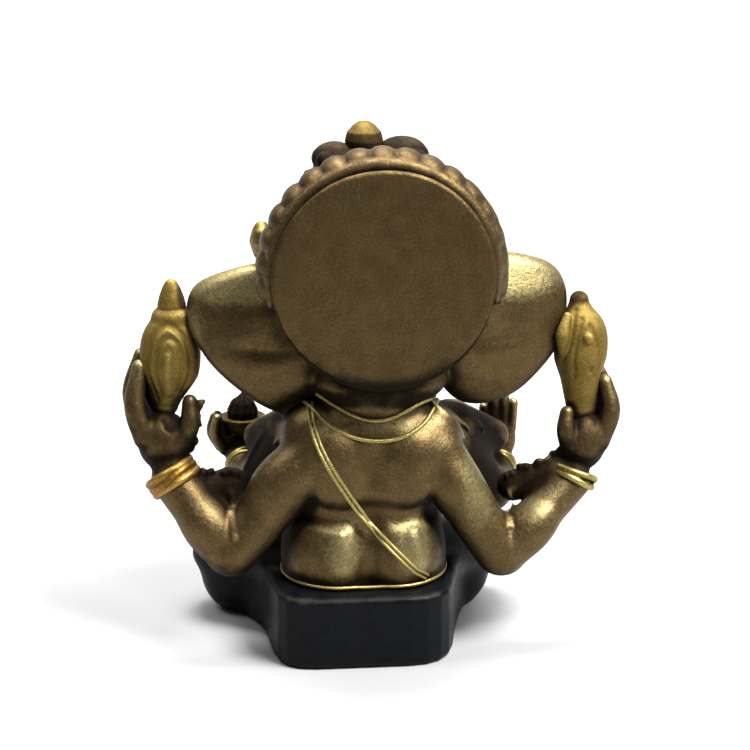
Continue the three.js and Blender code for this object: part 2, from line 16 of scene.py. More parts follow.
import bmesh
import bpy
import numpy as np
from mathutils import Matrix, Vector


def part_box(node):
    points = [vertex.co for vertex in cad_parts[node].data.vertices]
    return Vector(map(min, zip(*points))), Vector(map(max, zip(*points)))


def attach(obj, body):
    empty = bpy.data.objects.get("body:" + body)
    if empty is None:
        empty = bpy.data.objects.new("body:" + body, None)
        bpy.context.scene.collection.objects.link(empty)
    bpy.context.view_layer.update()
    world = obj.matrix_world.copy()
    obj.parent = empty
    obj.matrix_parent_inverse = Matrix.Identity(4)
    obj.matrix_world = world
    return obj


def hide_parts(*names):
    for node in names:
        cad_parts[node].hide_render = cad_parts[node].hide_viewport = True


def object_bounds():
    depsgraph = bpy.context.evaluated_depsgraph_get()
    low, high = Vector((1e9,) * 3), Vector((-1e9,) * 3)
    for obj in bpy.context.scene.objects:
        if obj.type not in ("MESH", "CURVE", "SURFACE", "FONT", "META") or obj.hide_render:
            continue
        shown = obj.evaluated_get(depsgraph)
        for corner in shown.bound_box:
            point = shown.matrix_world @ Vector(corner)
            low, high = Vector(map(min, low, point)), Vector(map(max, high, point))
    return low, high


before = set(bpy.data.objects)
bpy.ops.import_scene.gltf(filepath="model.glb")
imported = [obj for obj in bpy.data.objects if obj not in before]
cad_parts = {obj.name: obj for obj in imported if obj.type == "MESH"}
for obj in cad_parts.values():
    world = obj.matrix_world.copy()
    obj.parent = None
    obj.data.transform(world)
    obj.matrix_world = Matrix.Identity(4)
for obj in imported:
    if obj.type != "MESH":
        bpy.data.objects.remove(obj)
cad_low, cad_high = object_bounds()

import openvdb
from mathutils import Vector

print("CAD box, mm:", [round((b - a) * 1000, 2) for a, b in zip(cad_low, cad_high)])

# %% [markdown]
# ## Where the sculptor's zero is
#
# All the lumps below are placed in millimetres from a zero under the middle of the body. The flat
# round plate behind the crown is the one piece with hard, exact edges, so its CAD box says where
# that zero lies in the frame.

# %% Find the zero
MM = 0.001
PLATE_ACROSS = -0.2  # where the plate's middle is, in the sculptor's millimetres
PLATE_HEIGHT = 52.0
PLATE_BACK = 12.2
PLATE_FRONT = 10.0
PLATE_RADIUS = 14.3
plate_low, plate_high = (np.array(corner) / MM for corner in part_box("halo_disc"))
ZERO = np.array(
    [
        (plate_low[0] + plate_high[0]) / 2 - PLATE_ACROSS,
        plate_high[1] - PLATE_BACK,
        cad_low[2] / MM,
    ]
)
print("the zero is at", ZERO.round(3), "mm in the frame")


def to_frame(points):
    """Sculptor's millimetres to metres in the frame."""
    return (np.asarray(points, dtype=float) + ZERO) * MM


# %% [markdown]
# ## Clay
#
# A block of clay is an array of distances, negative inside. Each lump is written only into the
# part of the array near it, which keeps the work quick. A *smooth minimum* joins a lump to the
# clay with a fillet, and an array of numbers beside it remembers which named piece each bit of
# clay belongs to, so that the finished skin can be divided again along the piece borders.

# %% Make the clay
FAR = 6.0  # mm: further than this from the skin, distances no longer matter
LUMP_MARGIN, CARVE_MARGIN = 3.0, 1.5  # how far round a lump its distances are written
TINY = 1e-9


class Clay:
    """A block of clay between two corners, in millimetres."""

    def __init__(self, low, high, grain):
        self.low = np.array(low, dtype=float)
        self.grain = grain
        counts = np.ceil((np.array(high) - self.low) / grain).astype(int) + 1
        self.axes = [self.low[i] + grain * np.arange(counts[i]) for i in range(3)]
        self.field = np.full(counts, FAR, dtype=np.float32)
        self.owner = np.zeros(counts, dtype=np.uint8)
        self.names = []

    def near(self, low, high):
        """The slices and the coordinates of the clay between two corners."""
        cut = []
        for i in range(3):
            first = int(np.searchsorted(self.axes[i], low[i]))
            last = int(np.searchsorted(self.axes[i], high[i]))
            cut.append(slice(first, max(last, first + 1)))
        cut = tuple(cut)
        x = self.axes[0][cut[0]].astype(np.float32)[:, None, None]
        y = self.axes[1][cut[1]].astype(np.float32)[None, :, None]
        z = self.axes[2][cut[2]].astype(np.float32)[None, None, :]
        return cut, (x, y, z)

    def add(self, name, lump, blend=1.0):
        """Joins a lump to the clay with a fillet of about blend millimetres."""
        distance, low, high = lump
        margin = blend + LUMP_MARGIN
        cut, place = self.near(low - margin, high + margin)
        new = distance(place).astype(np.float32)
        old = self.field[cut]
        if name not in self.names:
            self.names.append(name)
        nearer = new < old
        self.owner[cut][nearer] = self.names.index(name)
        self.field[cut] = smooth_min(old, new, blend)

    def carve(self, lump, blend=0.5):
        """Cuts a lump out of the clay, with the edge rounded over."""
        distance, low, high = lump
        margin = blend + CARVE_MARGIN
        cut, place = self.near(low - margin, high + margin)
        new = distance(place).astype(np.float32)
        self.field[cut] = -smooth_min(-self.field[cut], new, blend)

    def press(self, points, width, depth):
        """Draws a tool along a line: depth is negative for a groove and positive for a ridge."""
        line = smooth_line(points)
        reach = width * 2.6  # beyond this the tool's bell-shaped tip no longer touches the clay
        low, high = line.min(0) - reach, line.max(0) + reach
        cut, place = self.near(low, high)
        gap = line_distance(place, line)
        self.field[cut] -= (depth * np.exp(-((gap / width) ** 2))).astype(np.float32)


def smooth_min(a, b, blend):
    """The smaller of two distances, with the crease between them filled."""
    if blend <= 0:
        return np.minimum(a, b)
    share = np.maximum(blend - np.abs(a - b), 0) / blend
    return np.minimum(a, b) - share * share * (blend * 0.25)


def smooth_line(points, per_span=6):
    """Points along a Catmull-Rom curve through the given ones."""
    points = np.array(points, dtype=float)
    if len(points) < 3:
        return points
    padded = np.vstack([2 * points[0] - points[1], points, 2 * points[-1] - points[-2]])
    line = []
    for i in range(len(points) - 1):
        a, b, c, d = padded[i : i + 4]
        for t in np.linspace(0, 1, per_span, endpoint=False):
            square = (2 * a - 5 * b + 4 * c - d) * t**2
            cube = (3 * b - a - 3 * c + d) * t**3
            line.append((2 * b + (c - a) * t + square + cube) / 2)
    line.append(points[-1])
    return np.array(line)


def from_stretch(place, start, along):
    """How far along a straight stretch each point lies, from 0 to 1, and its distance from it."""
    offset = [place[i] - start[i] for i in range(3)]
    share = sum(offset[i] * along[i] for i in range(3)) / max(along @ along, TINY)
    share = np.clip(share, 0, 1)
    return share, np.sqrt(sum((offset[i] - share * along[i]) ** 2 for i in range(3)))


def line_distance(place, line):
    """Distance from each point of the clay to a line of short straight stretches."""
    best = None
    for start, end in zip(line[:-1], line[1:]):
        _, gap = from_stretch(place, start, end - start)
        best = gap if best is None else np.minimum(best, gap)
    return best


# %% [markdown]
# ## Lumps
#
# Five lumps are enough for the whole figure: an egg, a tapered limb, a bending tube whose
# thickness changes along it, a level slab cut to an outline, and a body turned as on a lathe. Each
# returns its distance function and the corners of its box.

# %% Make the lumps
def turn_matrix(degrees):
    (cx, cy, cz), (sx, sy, sz) = np.cos(np.radians(degrees)), np.sin(np.radians(degrees))
    about_x = np.array([[1, 0, 0], [0, cx, -sx], [0, sx, cx]])
    about_y = np.array([[cy, 0, sy], [0, 1, 0], [-sy, 0, cy]])
    about_z = np.array([[cz, -sz, 0], [sz, cz, 0], [0, 0, 1]])
    return about_x @ about_y @ about_z


def egg(centre, radii, turn=(0, 0, 0)):
    centre, radii = np.array(centre, dtype=float), np.array(radii, dtype=float)
    matrix = turn_matrix(turn)

    def distance(place):
        offset = [place[i] - centre[i] for i in range(3)]
        local = [sum(matrix[j, i] * offset[j] for j in range(3)) for i in range(3)]
        near = np.sqrt(sum((local[i] / radii[i]) ** 2 for i in range(3)))
        steep = np.sqrt(sum((local[i] / radii[i] ** 2) ** 2 for i in range(3)))
        return near * (near - 1) / np.maximum(steep, 1e-6)

    reach = np.full(3, radii.max()) if any(turn) else radii
    return distance, centre - reach, centre + reach


def limb(start, start_radius, end, end_radius):
    return tube([start, end], [start_radius, end_radius])


def tube(points, radii, rings=None):
    """A bending round tube. rings=(spacing, depth) presses creases round it."""
    points = np.array(points, dtype=float)
    line = smooth_line(points)
    radius = np.interp(np.linspace(0, 1, len(line)), np.linspace(0, 1, len(radii)), radii)
    steps = np.linalg.norm(np.diff(line, axis=0), axis=1)
    run = np.concatenate([[0], np.cumsum(steps)])

    def distance(place):
        best = None
        for i in range(len(line) - 1):
            share, gap = from_stretch(place, line[i], line[i + 1] - line[i])
            gap = gap - (radius[i] + share * (radius[i + 1] - radius[i]))
            if rings:
                spacing, depth = rings
                wave = 0.5 + 0.5 * np.cos(2 * math.pi * (run[i] + share * steps[i]) / spacing)
                gap = gap + depth * wave**3
            best = gap if best is None else np.minimum(best, gap)
        return best

    reach = max(radii)
    return distance, line.min(0) - reach, line.max(0) + reach


def outline_distance(corners, u, v):
    """Signed distance in a plane to a closed outline, negative inside."""
    corners = np.array(corners, dtype=float)
    gap = None
    inside = np.zeros(np.broadcast(u, v).shape, dtype=bool)
    for a, b in zip(corners, np.roll(corners, -1, axis=0)):
        along = b - a
        share = ((u - a[0]) * along[0] + (v - a[1]) * along[1]) / max(along @ along, TINY)
        share = np.clip(share, 0, 1)
        square = (u - a[0] - share * along[0]) ** 2 + (v - a[1] - share * along[1]) ** 2
        gap = square if gap is None else np.minimum(gap, square)
        if a[1] != b[1]:
            between = (a[1] > v) != (b[1] > v)
            inside ^= between & (u < a[0] + (v - a[1]) * along[0] / along[1])
    return np.where(inside, -1, 1) * np.sqrt(gap)


def slab(corners, bottom, top, edge):
    """A level slab with rounded edges."""
    corners = np.array(corners, dtype=float)

    def distance(place):
        x, y, z = place
        side = outline_distance(corners, x[:, :, 0], y[:, :, 0])[:, :, None] + edge
        height = np.abs(z - (bottom + top) / 2) - (top - bottom) / 2 + edge
        outside = np.sqrt(np.maximum(side, 0) ** 2 + np.maximum(height, 0) ** 2)
        return outside + np.minimum(np.maximum(side, height), 0) - edge

    low = np.array([*corners.min(0), bottom])
    high = np.array([*corners.max(0), top])
    return distance, low, high


def turned(centre, profile):
    """A body of revolution about an upright line, from half an outline of [radius, height]."""
    whole = profile + [(-radius, height) for radius, height in reversed(profile)]

    def distance(place):
        x, y, z = place
        return outline_distance(whole, np.sqrt((x - centre[0]) ** 2 + (y - centre[1]) ** 2), z)

    widest = max(radius for radius, _ in profile)
    heights = [height for _, height in profile]
    low = np.array([centre[0] - widest, centre[1] - widest, min(heights)])
    high = np.array([centre[0] + widest, centre[1] + widest, max(heights)])
    return distance, low, high


def round_spots(middle, radius, count, level):
    """Evenly spaced spots on a level circle."""
    for i in range(count):
        angle = 2 * math.pi * i / count
        yield [middle[0] + radius * math.cos(angle), middle[1] + radius * math.sin(angle), level]


# %% [markdown]
# ## The head's lean
#
# Hand-made masters are never quite square. The head sits a little to one side and leans a degree
# or two, so head pieces are placed by a helper that leans a point as the head leans. A second one
# goes the other way, for shapes that are easier to describe on an upright head.

# %% Lean the head
HEAD_TURN = math.radians(2.5)
HEAD_TILT = math.radians(1.5)
HEAD_ASIDE, HEAD_PIVOT = -0.5, 44.0


def rolled(across, up, angle):
    """Two coordinates turned by an angle in their own plane."""
    return across * math.cos(angle) - up * math.sin(angle), across * math.sin(angle) + up * math.cos(angle)


def on_head(point):
    """A point of the upright head, moved to where the leaning head has it."""
    x, z = rolled(point[0], point[2] - HEAD_PIVOT, -HEAD_TILT)
    x, y = rolled(x, point[1], HEAD_TURN)
    return [x + HEAD_ASIDE, y, z + HEAD_PIVOT]


def off_head(place):
    """The way back, from the leaning head to the upright one."""
    x, y, z = place
    x, y = rolled(x - HEAD_ASIDE, y, -HEAD_TURN)
    x, z = rolled(x, z - HEAD_PIVOT, HEAD_TILT)
    return x, y, z + HEAD_PIVOT


def both_sides(make, blend):
    """Adds the same head lump on the figure's left and right."""
    for side in (1, -1):
        body.add("head", make(side), blend)


# %% [markdown]
# ## Reading the clay
#
# To lay a cord on the skin, or to find out how deep in a hollow a point is, the script reads the
# distance array between its grid points, and finds which way is out from its slope.

# %% Read distances and slopes
def plate_distance(points):
    """Distance to the flat plate, which isn't made of clay but shades the clay near it."""
    across = np.hypot(points[:, 0] - PLATE_ACROSS, points[:, 2] - PLATE_HEIGHT) - PLATE_RADIUS
    half = (PLATE_BACK - PLATE_FRONT) / 2
    deep = np.abs(points[:, 1] - (PLATE_BACK - half)) - half
    return np.maximum(across, deep)


def read(clay, points):
    """Distances at points, by mixing the eight grid values round each."""
    spot = (points - clay.low) / clay.grain
    top = np.array(clay.field.shape) - 2
    base = np.clip(np.floor(spot).astype(int), 0, top)
    part = np.clip(spot - base, 0, 1)
    total = np.zeros(len(points))
    for corner in range(8):
        step = np.array([corner & 1, (corner >> 1) & 1, (corner >> 2) & 1])
        share = np.prod(np.where(step, part, 1 - part), axis=1)
        at = base + step
        total += share * clay.field[at[:, 0], at[:, 1], at[:, 2]]
    outside = np.any((spot < 0) | (spot > top + 1), axis=1)
    return np.where(outside, FAR, total)


def slope(clay, points):
    """Unit arrows that point straight out of the clay."""
    step = clay.grain * 0.9
    ahead = []
    for i in range(3):
        shift = np.zeros(3)
        shift[i] = step
        ahead.append(read(clay, points + shift) - read(clay, points - shift))
    out = np.stack(ahead, axis=1)
    return out / np.maximum(np.linalg.norm(out, axis=1, keepdims=True), TINY)


def settle(clay, points, lift=0.0, rounds=6):
    """Moves points along the slope until they lie lift millimetres above the skin."""
    points = np.array(points, dtype=float)
    for _ in range(rounds):
        points -= (read(clay, points) - lift)[:, None] * slope(clay, points) * 0.9
    return points


def laid_on(clay, points, lift, per_span=5, taut=0):
    """A smooth line through points, laid on the skin. A taut one bridges the creases."""
    line = settle(clay, smooth_line(points, per_span), lift)
    for _ in range(taut):
        line[1:-1] = (line[:-2] + 2 * line[1:-1] + line[2:]) / 4
    sunk = np.minimum(read(clay, line) - lift * 0.3, 0)
    return line - sunk[:, None] * slope(clay, line)


# %% [markdown]
# ## The body in clay
#
# The trunk of the body is a stack of eggs: two for the small of the back, one for the rib cage,
# one for the belly, and a bar for the shoulders. The real casting shows a spine groove, the edges
# of the shoulder blades and a soft fold under them, and those are pressed in afterwards.

# %% Model the trunk of the body
BODY_GRAIN = 0.25
body = Clay([-36, -24, -1], [36, 15, 72], BODY_GRAIN)

body.add("torso", egg([5.6, 2.4, 12.6], [7.4, 7.9, 9.6]), 0)
body.add("torso", egg([-2.2, 2.4, 12.4], [7.2, 7.9, 9.6]), 1.6)
body.add("torso", egg([1.0, 2.2, 25.6], [10.6, 6.6, 8.0]), 3.2)
body.add("torso", limb([-6.8, 3.0, 29.2], 4.3, [8.6, 3.0, 29.8], 4.3), 3.0)
body.add("torso", egg([6.0, 7.0, 26.4], [3.6, 2.4, 4.6], (0, 14, 0)), 2.0)
body.add("torso", egg([-4.4, 7.0, 26.2], [3.6, 2.4, 4.6], (0, -14, 0)), 2.0)
body.add("belly", egg([1.6, -4.6, 18.0], [11.8, 9.7, 8.7]), 2.4)
body.add("torso", egg([5.2, -3.4, 28.2], [4.8, 3.6, 3.6]), 2.0)
body.add("torso", egg([-3.4, -3.4, 28.2], [4.8, 3.6, 3.6]), 2.0)
body.add("neck", limb([0.4, 1.6, 31.6], 6.2, [-0.4, 1.0, 37.0], 6.2), 1.6)
body.add("neck", egg([-0.4, 2.2, 36.8], [9.0, 6.0, 4.0]), 1.6)

body.press([[1.1, 8.6, 28], [1.2, 8.8, 24], [1.2, 8.8, 21]], 1.5, -0.5)
body.press([[1.4, 9.0, 19.6], [1.5, 10.0, 15], [1.9, 10.0, 10.5]], 1.1, -1.1)
body.press([[8.6, 7.4, 22.6], [4.8, 9.0, 22.0], [2.4, 8.8, 22.2]], 1.9, 0.5)
body.press([[-6.2, 7.4, 22.4], [-2.4, 9.0, 21.8], [0.2, 8.8, 22.2]], 1.9, 0.5)
left_fold = [[11.6, 4.0, 19.0], [8.6, 7.6, 19.2], [5.4, 9.0, 19.0], [2.6, 9.2, 19.8], [1.4, 9.2, 20.4]]
right_fold = [[-8.6, 4.0, 18.8], [-6.2, 7.6, 19.2], [-3.0, 9.0, 19.0], [-0.2, 9.2, 19.8], [1.0, 9.2, 20.4]]
body.press(left_fold, 0.75, -1.0)
body.press(right_fold, 0.75, -1.0)
body.press([[5.4, 9.4, 17.6], [5.2, 10.0, 13.0]], 1.4, 0.45)
body.press([[-4.6, 9.4, 17.6], [-5.0, 10.0, 13.0]], 1.3, 0.5)
chest_fold = [[-9.4, -8.2, 25.4], [-3.0, -11.4, 24.2], [1.6, -11.6, 24.6], [6, -11.4, 24.2], [12, -8.2, 25.4]]
body.press(chest_fold, 0.8, -0.45)
body.press([[1.7, -14.3, 17.6], [1.7, -14.3, 16.8]], 0.7, -0.9)
print("body trunk modelled, piece names:", body.names)

# %% [markdown]
# ## Arms and hands
#
# Each arm is two tapered limbs with a bump for the muscle. A hand is a palm with bending tubes for
# its thumb and fingers. The rear arms reach out and up, and their hands cup what they hold.

# %% Model the rear arms
body.add("rear_left_upper_arm", limb([8.8, 4.6, 27.0], 3.9, [19.4, 6.0, 14.4], 3.2), 0.8)
body.add("rear_left_upper_arm", egg([12.9, 5.6, 23.9], [3.6, 3.5, 6.0], (0, -40, 0)), 1.2)
body.add("rear_left_forearm", limb([20.0, 5.8, 14.4], 3.3, [27.2, 2.6, 23.6], 2.9), 0.5)
body.add("rear_left_forearm", egg([22.4, 5.2, 17.4], [3.3, 3.3, 4.6], (0, 38, 0)), 1.2)
body.add("rear_left_hand", egg([28.2, 0.9, 28.4], [3.6, 3.2, 4.2], (0, 8, 0)), 1.0)
LEFT_FINGERS = [
    ([[30.6, 2.0, 29.4], [31.9, 1.6, 33.6], [31.2, 0.4, 38.6]], [1.7, 1.45, 1.0]),
    ([[30.8, 0.0, 30.0], [32.2, -0.8, 34.8], [31.0, -2.0, 39.6]], [1.7, 1.45, 1.0]),
    ([[30.0, -2.0, 29.8], [31.0, -3.2, 34.4], [29.2, -4.0, 38.6]], [1.5, 1.3, 0.9]),
    ([[26.0, 1.6, 28.8], [24.8, 2.2, 31.2], [24.7, 1.6, 34.0]], [1.7, 1.4, 1.0]),
]
for points, radii in LEFT_FINGERS:
    body.add("rear_left_hand", tube(points, radii), 0.5)
body.carve(limb([27.2, 3.4, 31.4], 0.8, [28.2, 2.4, 35.0], 1.6), 0.6)

body.add("rear_right_upper_arm", limb([-7.6, 4.6, 27.0], 3.9, [-16.2, 6.0, 13.2], 3.2), 0.8)
body.add("rear_right_upper_arm", egg([-10.0, 5.8, 22.8], [3.2, 3.3, 5.6], (0, 33, 0)), 1.2)
body.add("rear_right_forearm", limb([-16.9, 5.8, 13.1], 3.2, [-26.6, 2.4, 21.7], 2.6), 0.5)
body.add("rear_right_forearm", egg([-20.2, 5.2, 15.8], [3.0, 3.0, 4.6], (0, -48, 0)), 1.2)
body.add("rear_right_hand", egg([-28.4, 0.9, 26.8], [3.1, 3.0, 4.0], (0, -8, 0)), 1.0)
RIGHT_FINGERS = [
    ([[-30.2, 1.6, 27.2], [-31.8, 1.2, 31.2], [-31.2, 0.2, 35.0]], [1.7, 1.45, 1.0]),
    ([[-30.4, -0.6, 27.6], [-32.0, -1.4, 31.8], [-30.8, -2.4, 35.8]], [1.7, 1.45, 1.0]),
    ([[-29.4, -2.4, 27.6], [-30.4, -3.6, 31.8], [-29.0, -4.2, 35.0]], [1.5, 1.3, 0.9]),
    ([[-26.4, 1.8, 26.8], [-25.6, 2.4, 29.0], [-25.8, 1.8, 31.2]], [1.5, 1.25, 0.95]),
]
for points, radii in RIGHT_FINGERS:
    body.add("rear_right_hand", tube(points, radii), 0.5)
print("rear arms modelled")

# %% [markdown]
# The front arms come down over the belly. The left hand holds a bowl with a sweet in it, and the
# right hand is raised in blessing with its palm forward. A casting like this one is thick where
# two arms come close: the mould can't reach between them, so they are joined by soft webs.

# %% Model the front arms
body.add("front_left_upper_arm", limb([9.6, -1.6, 28.0], 3.8, [16.4, -7.4, 19.0], 3.2), 2.2)
body.add("front_left_forearm", limb([16.6, -8.0, 18.8], 3.2, [17.6, -13.2, 20.3], 2.5), 1.2)
body.add("front_left_hand", egg([17.8, -15.4, 22.0], [3.2, 3.2, 1.7]), 0.9)
for tip, base in (
    ([21.2, -12.4, 27.2], [20.2, -13.6, 22.4]),
    ([21.6, -14.4, 26.8], [20.7, -15.0, 22.4]),
    ([21.2, -16.6, 26.4], [20.4, -16.6, 22.4]),
    ([19.6, -18.6, 25.6], [18.8, -17.8, 22.2]),
):
    middle = [(tip[0] + base[0]) / 2 + 0.7, (tip[1] + base[1]) / 2, (tip[2] + base[2]) / 2]
    body.add("front_left_hand", tube([base, middle, tip], [1.0, 0.95, 0.7]), 0.35)
body.add("front_right_upper_arm", limb([-8.4, -1.6, 27.6], 3.8, [-16.6, -6.6, 17.8], 3.2), 2.2)
body.add("front_right_forearm", limb([-16.8, -7.2, 17.8], 3.2, [-18.6, -12.0, 19.4], 2.5), 1.2)
body.add("front_right_hand", egg([-18.8, -13.4, 22.8], [2.7, 1.5, 3.3]), 0.9)
for start, end, radius in (
    ([-20.6, -13.5, 24.4], [-21.0, -13.2, 28.2], 0.8),
    ([-19.4, -13.5, 25.0], [-19.6, -13.2, 29.3], 0.85),
    ([-18.1, -13.5, 25.0], [-18.1, -13.2, 29.1], 0.85),
    ([-16.9, -13.5, 24.4], [-16.7, -13.2, 27.7], 0.75),
    ([-16.9, -14.0, 22.0], [-14.9, -14.9, 24.4], 0.85),
):
    body.add("front_right_hand", limb(start, radius + 0.15, end, radius - 0.1), 0.35)
body.add("front_right_upper_arm", limb([-11.0, -3.5, 29.0], 2.8, [-17.4, -9.0, 24.8], 2.3), 2.4)
body.add("front_left_upper_arm", limb([11.6, -3.5, 29.0], 2.6, [15.6, -8.6, 25.8], 2.0), 2.4)
SHAWL_RIDGES = [
    [[-7.4, 4.6, 34.0], [-9.6, 4.4, 31.6], [-12.4, 2.6, 27.6], [-16.0, 0.2, 21.6]],
    [[-10.0, 1.6, 31.6], [-13.2, 0.0, 28.4], [-16.6, -2.0, 22.6]],
    [[-11.8, -1.6, 30.0], [-15.6, -3.0, 27.4], [-18.2, -4.4, 22.4]],
    [[9.6, 3.0, 32.4], [12.4, 1.4, 29.0], [16.4, -0.8, 24.4]],
    [[12.2, -2.0, 29.6], [15.4, -3.6, 26.8], [17.4, -5.0, 22.4]],
]
for ridge in SHAWL_RIDGES:
    body.press(ridge, 0.45, 0.5)
print("front arms modelled")

# %% [markdown]
# Where the two halves of the mould meet, resin creeps into the seam and leaves *flash*: thin,
# ragged scraps that nobody trimmed. They are small eggs strewn along a line by a random number
# generator with a fixed seed, so they fall in the same places on every run. The inner elbows get
# a ridge where the skin is pinched.

# %% Model the webs, the flash and the elbow creases
body.add("rear_left_forearm", limb([24.6, 2.2, 22.2], 1.7, [19.6, 0.6, 21.8], 2.2), 1.2)
body.add("rear_left_forearm", limb([19.6, 0.6, 21.8], 2.2, [18.4, 2.4, 17.6], 2.6), 1.2)
body.add("rear_right_forearm", limb([-24.6, 1.6, 23.4], 1.5, [-18.8, 0.6, 20.6], 2.1), 1.2)
flash = np.random.default_rng(7)
FLASH_SPREAD = 0.32
FLASH_LINES = {
    "rear_right_forearm": [[-17.8, 1.6, 22.4], [-21.0, 1.8, 23.6], [-24.4, 1.8, 24.8]],
    "rear_right_hand": [[-25.5, 0.9, 25.6], [-25.6, 1.0, 28.4]],
    "rear_left_hand": [[24.8, 0.8, 27.6], [23.9, 1.6, 31.0], [24.0, 1.2, 33.8]],
    "rear_left_forearm": [[19.0, 1.2, 24.0], [22.0, 1.6, 24.0], [24.4, 2.0, 24.2]],
}
for name, path in FLASH_LINES.items():
    for spot in smooth_line(path, 7):
        jitter = flash.normal(0, FLASH_SPREAD, 3)
        size = flash.uniform(0.3, 0.75, 3)
        body.add(name, egg(spot + jitter, size, tuple(flash.uniform(-40, 40, 3))), 0.3)
for crease in (
    [[19.6, 3.4, 21.6], [19.0, 4.6, 18.8], [18.2, 6.4, 16.4]],
    [[-17.6, 3.4, 20.4], [-17.0, 4.6, 18.2], [-16.2, 6.4, 16.2]],
):
    body.press(laid_on(body, crease, 0.0, 3), 0.34, 0.5)
print("arms modelled")

# %% [markdown]
# ## Head, ears and trunk
#
# An elephant's head has a high double forehead, deep temples and full cheeks, and the trunk grows
# out of the face with no step. One tusk is broken short, as the story tells it. The eyes are half
# closed: a small egg with a lid pressed round it.

# %% Model the head
body.add("head", egg(on_head([0, -0.4, 45.4]), [11.0, 10.0, 9.6]), 1.8)
both_sides(lambda side: egg(on_head([side * 3.4, -6.4, 48.2]), [3.9, 3.9, 3.9]), 2.0)
both_sides(lambda side: egg(on_head([side * 4.7, -5.2, 41.0]), [5.3, 5.2, 5.2]), 2.0)
body.add(
    "trunk",
    tube(
        [
            [-0.9, -8.4, 45.0], [-0.8, -12.2, 39.8], [-0.2, -14.6, 34.6], [1.2, -16.0, 29.6],
            [3.4, -17.0, 25.4], [6.8, -17.6, 22.8], [10.4, -17.8, 22.8], [12.4, -17.6, 24.8],
        ],
        [4.5, 4.05, 3.5, 3.1, 2.7, 2.35, 2.05, 1.7],
        rings=(1.5, 0.22),
    ),
    1.6,
)
body.carve(limb([12.7, -17.6, 25.8], 0.5, [13.3, -17.5, 27.0], 0.7), 0.3)
body.add("head", egg(on_head([0, -8.6, 36.6]), [2.6, 2.4, 1.4]), 0.8)
body.add("left_tusk", limb(on_head([4.8, -9.0, 38.4]), 1.35, on_head([6.4, -12.4, 36.9]), 1.05), 0.4)
whole_tusk = [on_head(p) for p in ([-4.8, -9.0, 38.4], [-6.6, -13.2, 36.4], [-7.6, -16.4, 36.6])]
body.add("right_tusk", tube(whole_tusk, [1.35, 1.05, 0.5]), 0.4)
for side in (1, -1):
    body.press([on_head(p) for p in ([side * 7.6, -6.6, 46.2], [side * 5.2, -9.0, 45.8])], 1.5, -0.7)
    eye = egg(on_head([side * 5.4, -8.7, 44.6]), [1.35, 0.9, 0.8], (0, side * 8, side * 24))
    body.add("head", eye, 0.1)
    lid = [[side * 7.1, -7.4, 44.6], [side * 5.6, -9.2, 45.7], [side * 3.9, -9.9, 44.9]]
    body.press([on_head(p) for p in lid], 0.42, 0.45)
    lower = [[side * 7.0, -7.4, 44.3], [side * 5.5, -9.0, 43.5], [side * 4.0, -9.8, 44.2]]
    body.press([on_head(p) for p in lower], 0.4, 0.3)
    brow = [[side * 8.6, -6.0, 46.6], [side * 6.0, -8.8, 48.2], [side * 3.4, -10.0, 47.2]]
    body.press([on_head(p) for p in brow], 0.7, 0.35)
print("head modelled")

# %% [markdown]
# The ears are thin curved fans: an egg with a slightly smaller egg taken out of it, trimmed to an
# outline, with a soft roll along the top edge and a few folds that fan out from the root.

# %% Model the ears
EAR_OUTLINES = {
    "left_ear": (1, [
        (7.5, 50.5), (10, 52.2), (14.5, 53.0), (19.4, 52.2), (23.6, 50.4), (25.2, 47.6),
        (24.8, 43.8), (22.6, 40.0), (19.4, 36.6), (15.8, 33.6), (12.4, 32.0), (9.5, 33.2), (7.2, 38),
    ]),
    "right_ear": (-1, [
        (7.5, 50.5), (10, 52.2), (14.5, 53.0), (19.4, 52.2), (23.6, 50.4), (25.5, 47.4),
        (25.4, 43.4), (24.2, 39.6), (21.2, 36.0), (17.6, 33.0), (13, 31.8), (9.5, 33.2), (7.2, 38),
    ]),
}


EAR_MIDDLE = [14.5, -7, 42.5]
EAR_FRONT = -3.2


def ear_shell(side, corners):
    curve = smooth_line([(across, 0, up) for across, up in corners + corners[:1]], 4)[:-1][:, [0, 2]]
    outer, _, _ = egg(EAR_MIDDLE, [15.3, 11.4, 15.8])
    inner, _, _ = egg(EAR_MIDDLE, [13.8, 9.4, 14.3])
    roll, _, _ = limb([8, 1.8, 46.4], 4.4, [20.4, -1.2, 46.2], 3.6)

    def distance(place):
        x, y, z = off_head(place)
        upright = (side * x, y, z)
        shell = np.maximum(smooth_min(outer(upright), roll(upright), 1.2), -inner(upright))
        shell = np.maximum(shell, EAR_FRONT - y)
        return -smooth_min(-shell, -outline_distance(curve, side * x, z), 1.2)

    edges = sorted((side * 5.0, side * 28.0))
    return distance, np.array([edges[0], -4.0, 30.0]), np.array([edges[1], 6.0, 55.0])


for name, (side, corners) in EAR_OUTLINES.items():
    body.add(name, ear_shell(side, corners), 1.0)
    back_fold = ([8, 5.0, 42.2], [15, 4.2, 42.0], [22, 0.6, 42.8])
    body.press([on_head([side * x, y, z]) for x, y, z in back_fold], 1.3, -0.5)
    for front_fold in (
        ([10.5, 0.4, 44.0], [21.5, -1.6, 46.5]),
        ([10.5, 0.4, 41.0], [20.5, -1.4, 41.5]),
        ([10.0, 0.4, 38.0], [16.5, -1.0, 36.2]),
    ):
        body.press([on_head([side * x, y, z]) for x, y, z in front_fold], 0.9, -0.45)
print("ears modelled")

# %% [markdown]
# ## Crown and feet
#
# The crown is a dome turned in tiers, with a row of beads round each tier and two soft lobes at
# its top. Behind it a ring of round petals stands against the flat plate. A plain roll carries the
# ring down the figure's right side, where the petals have all but worn away.

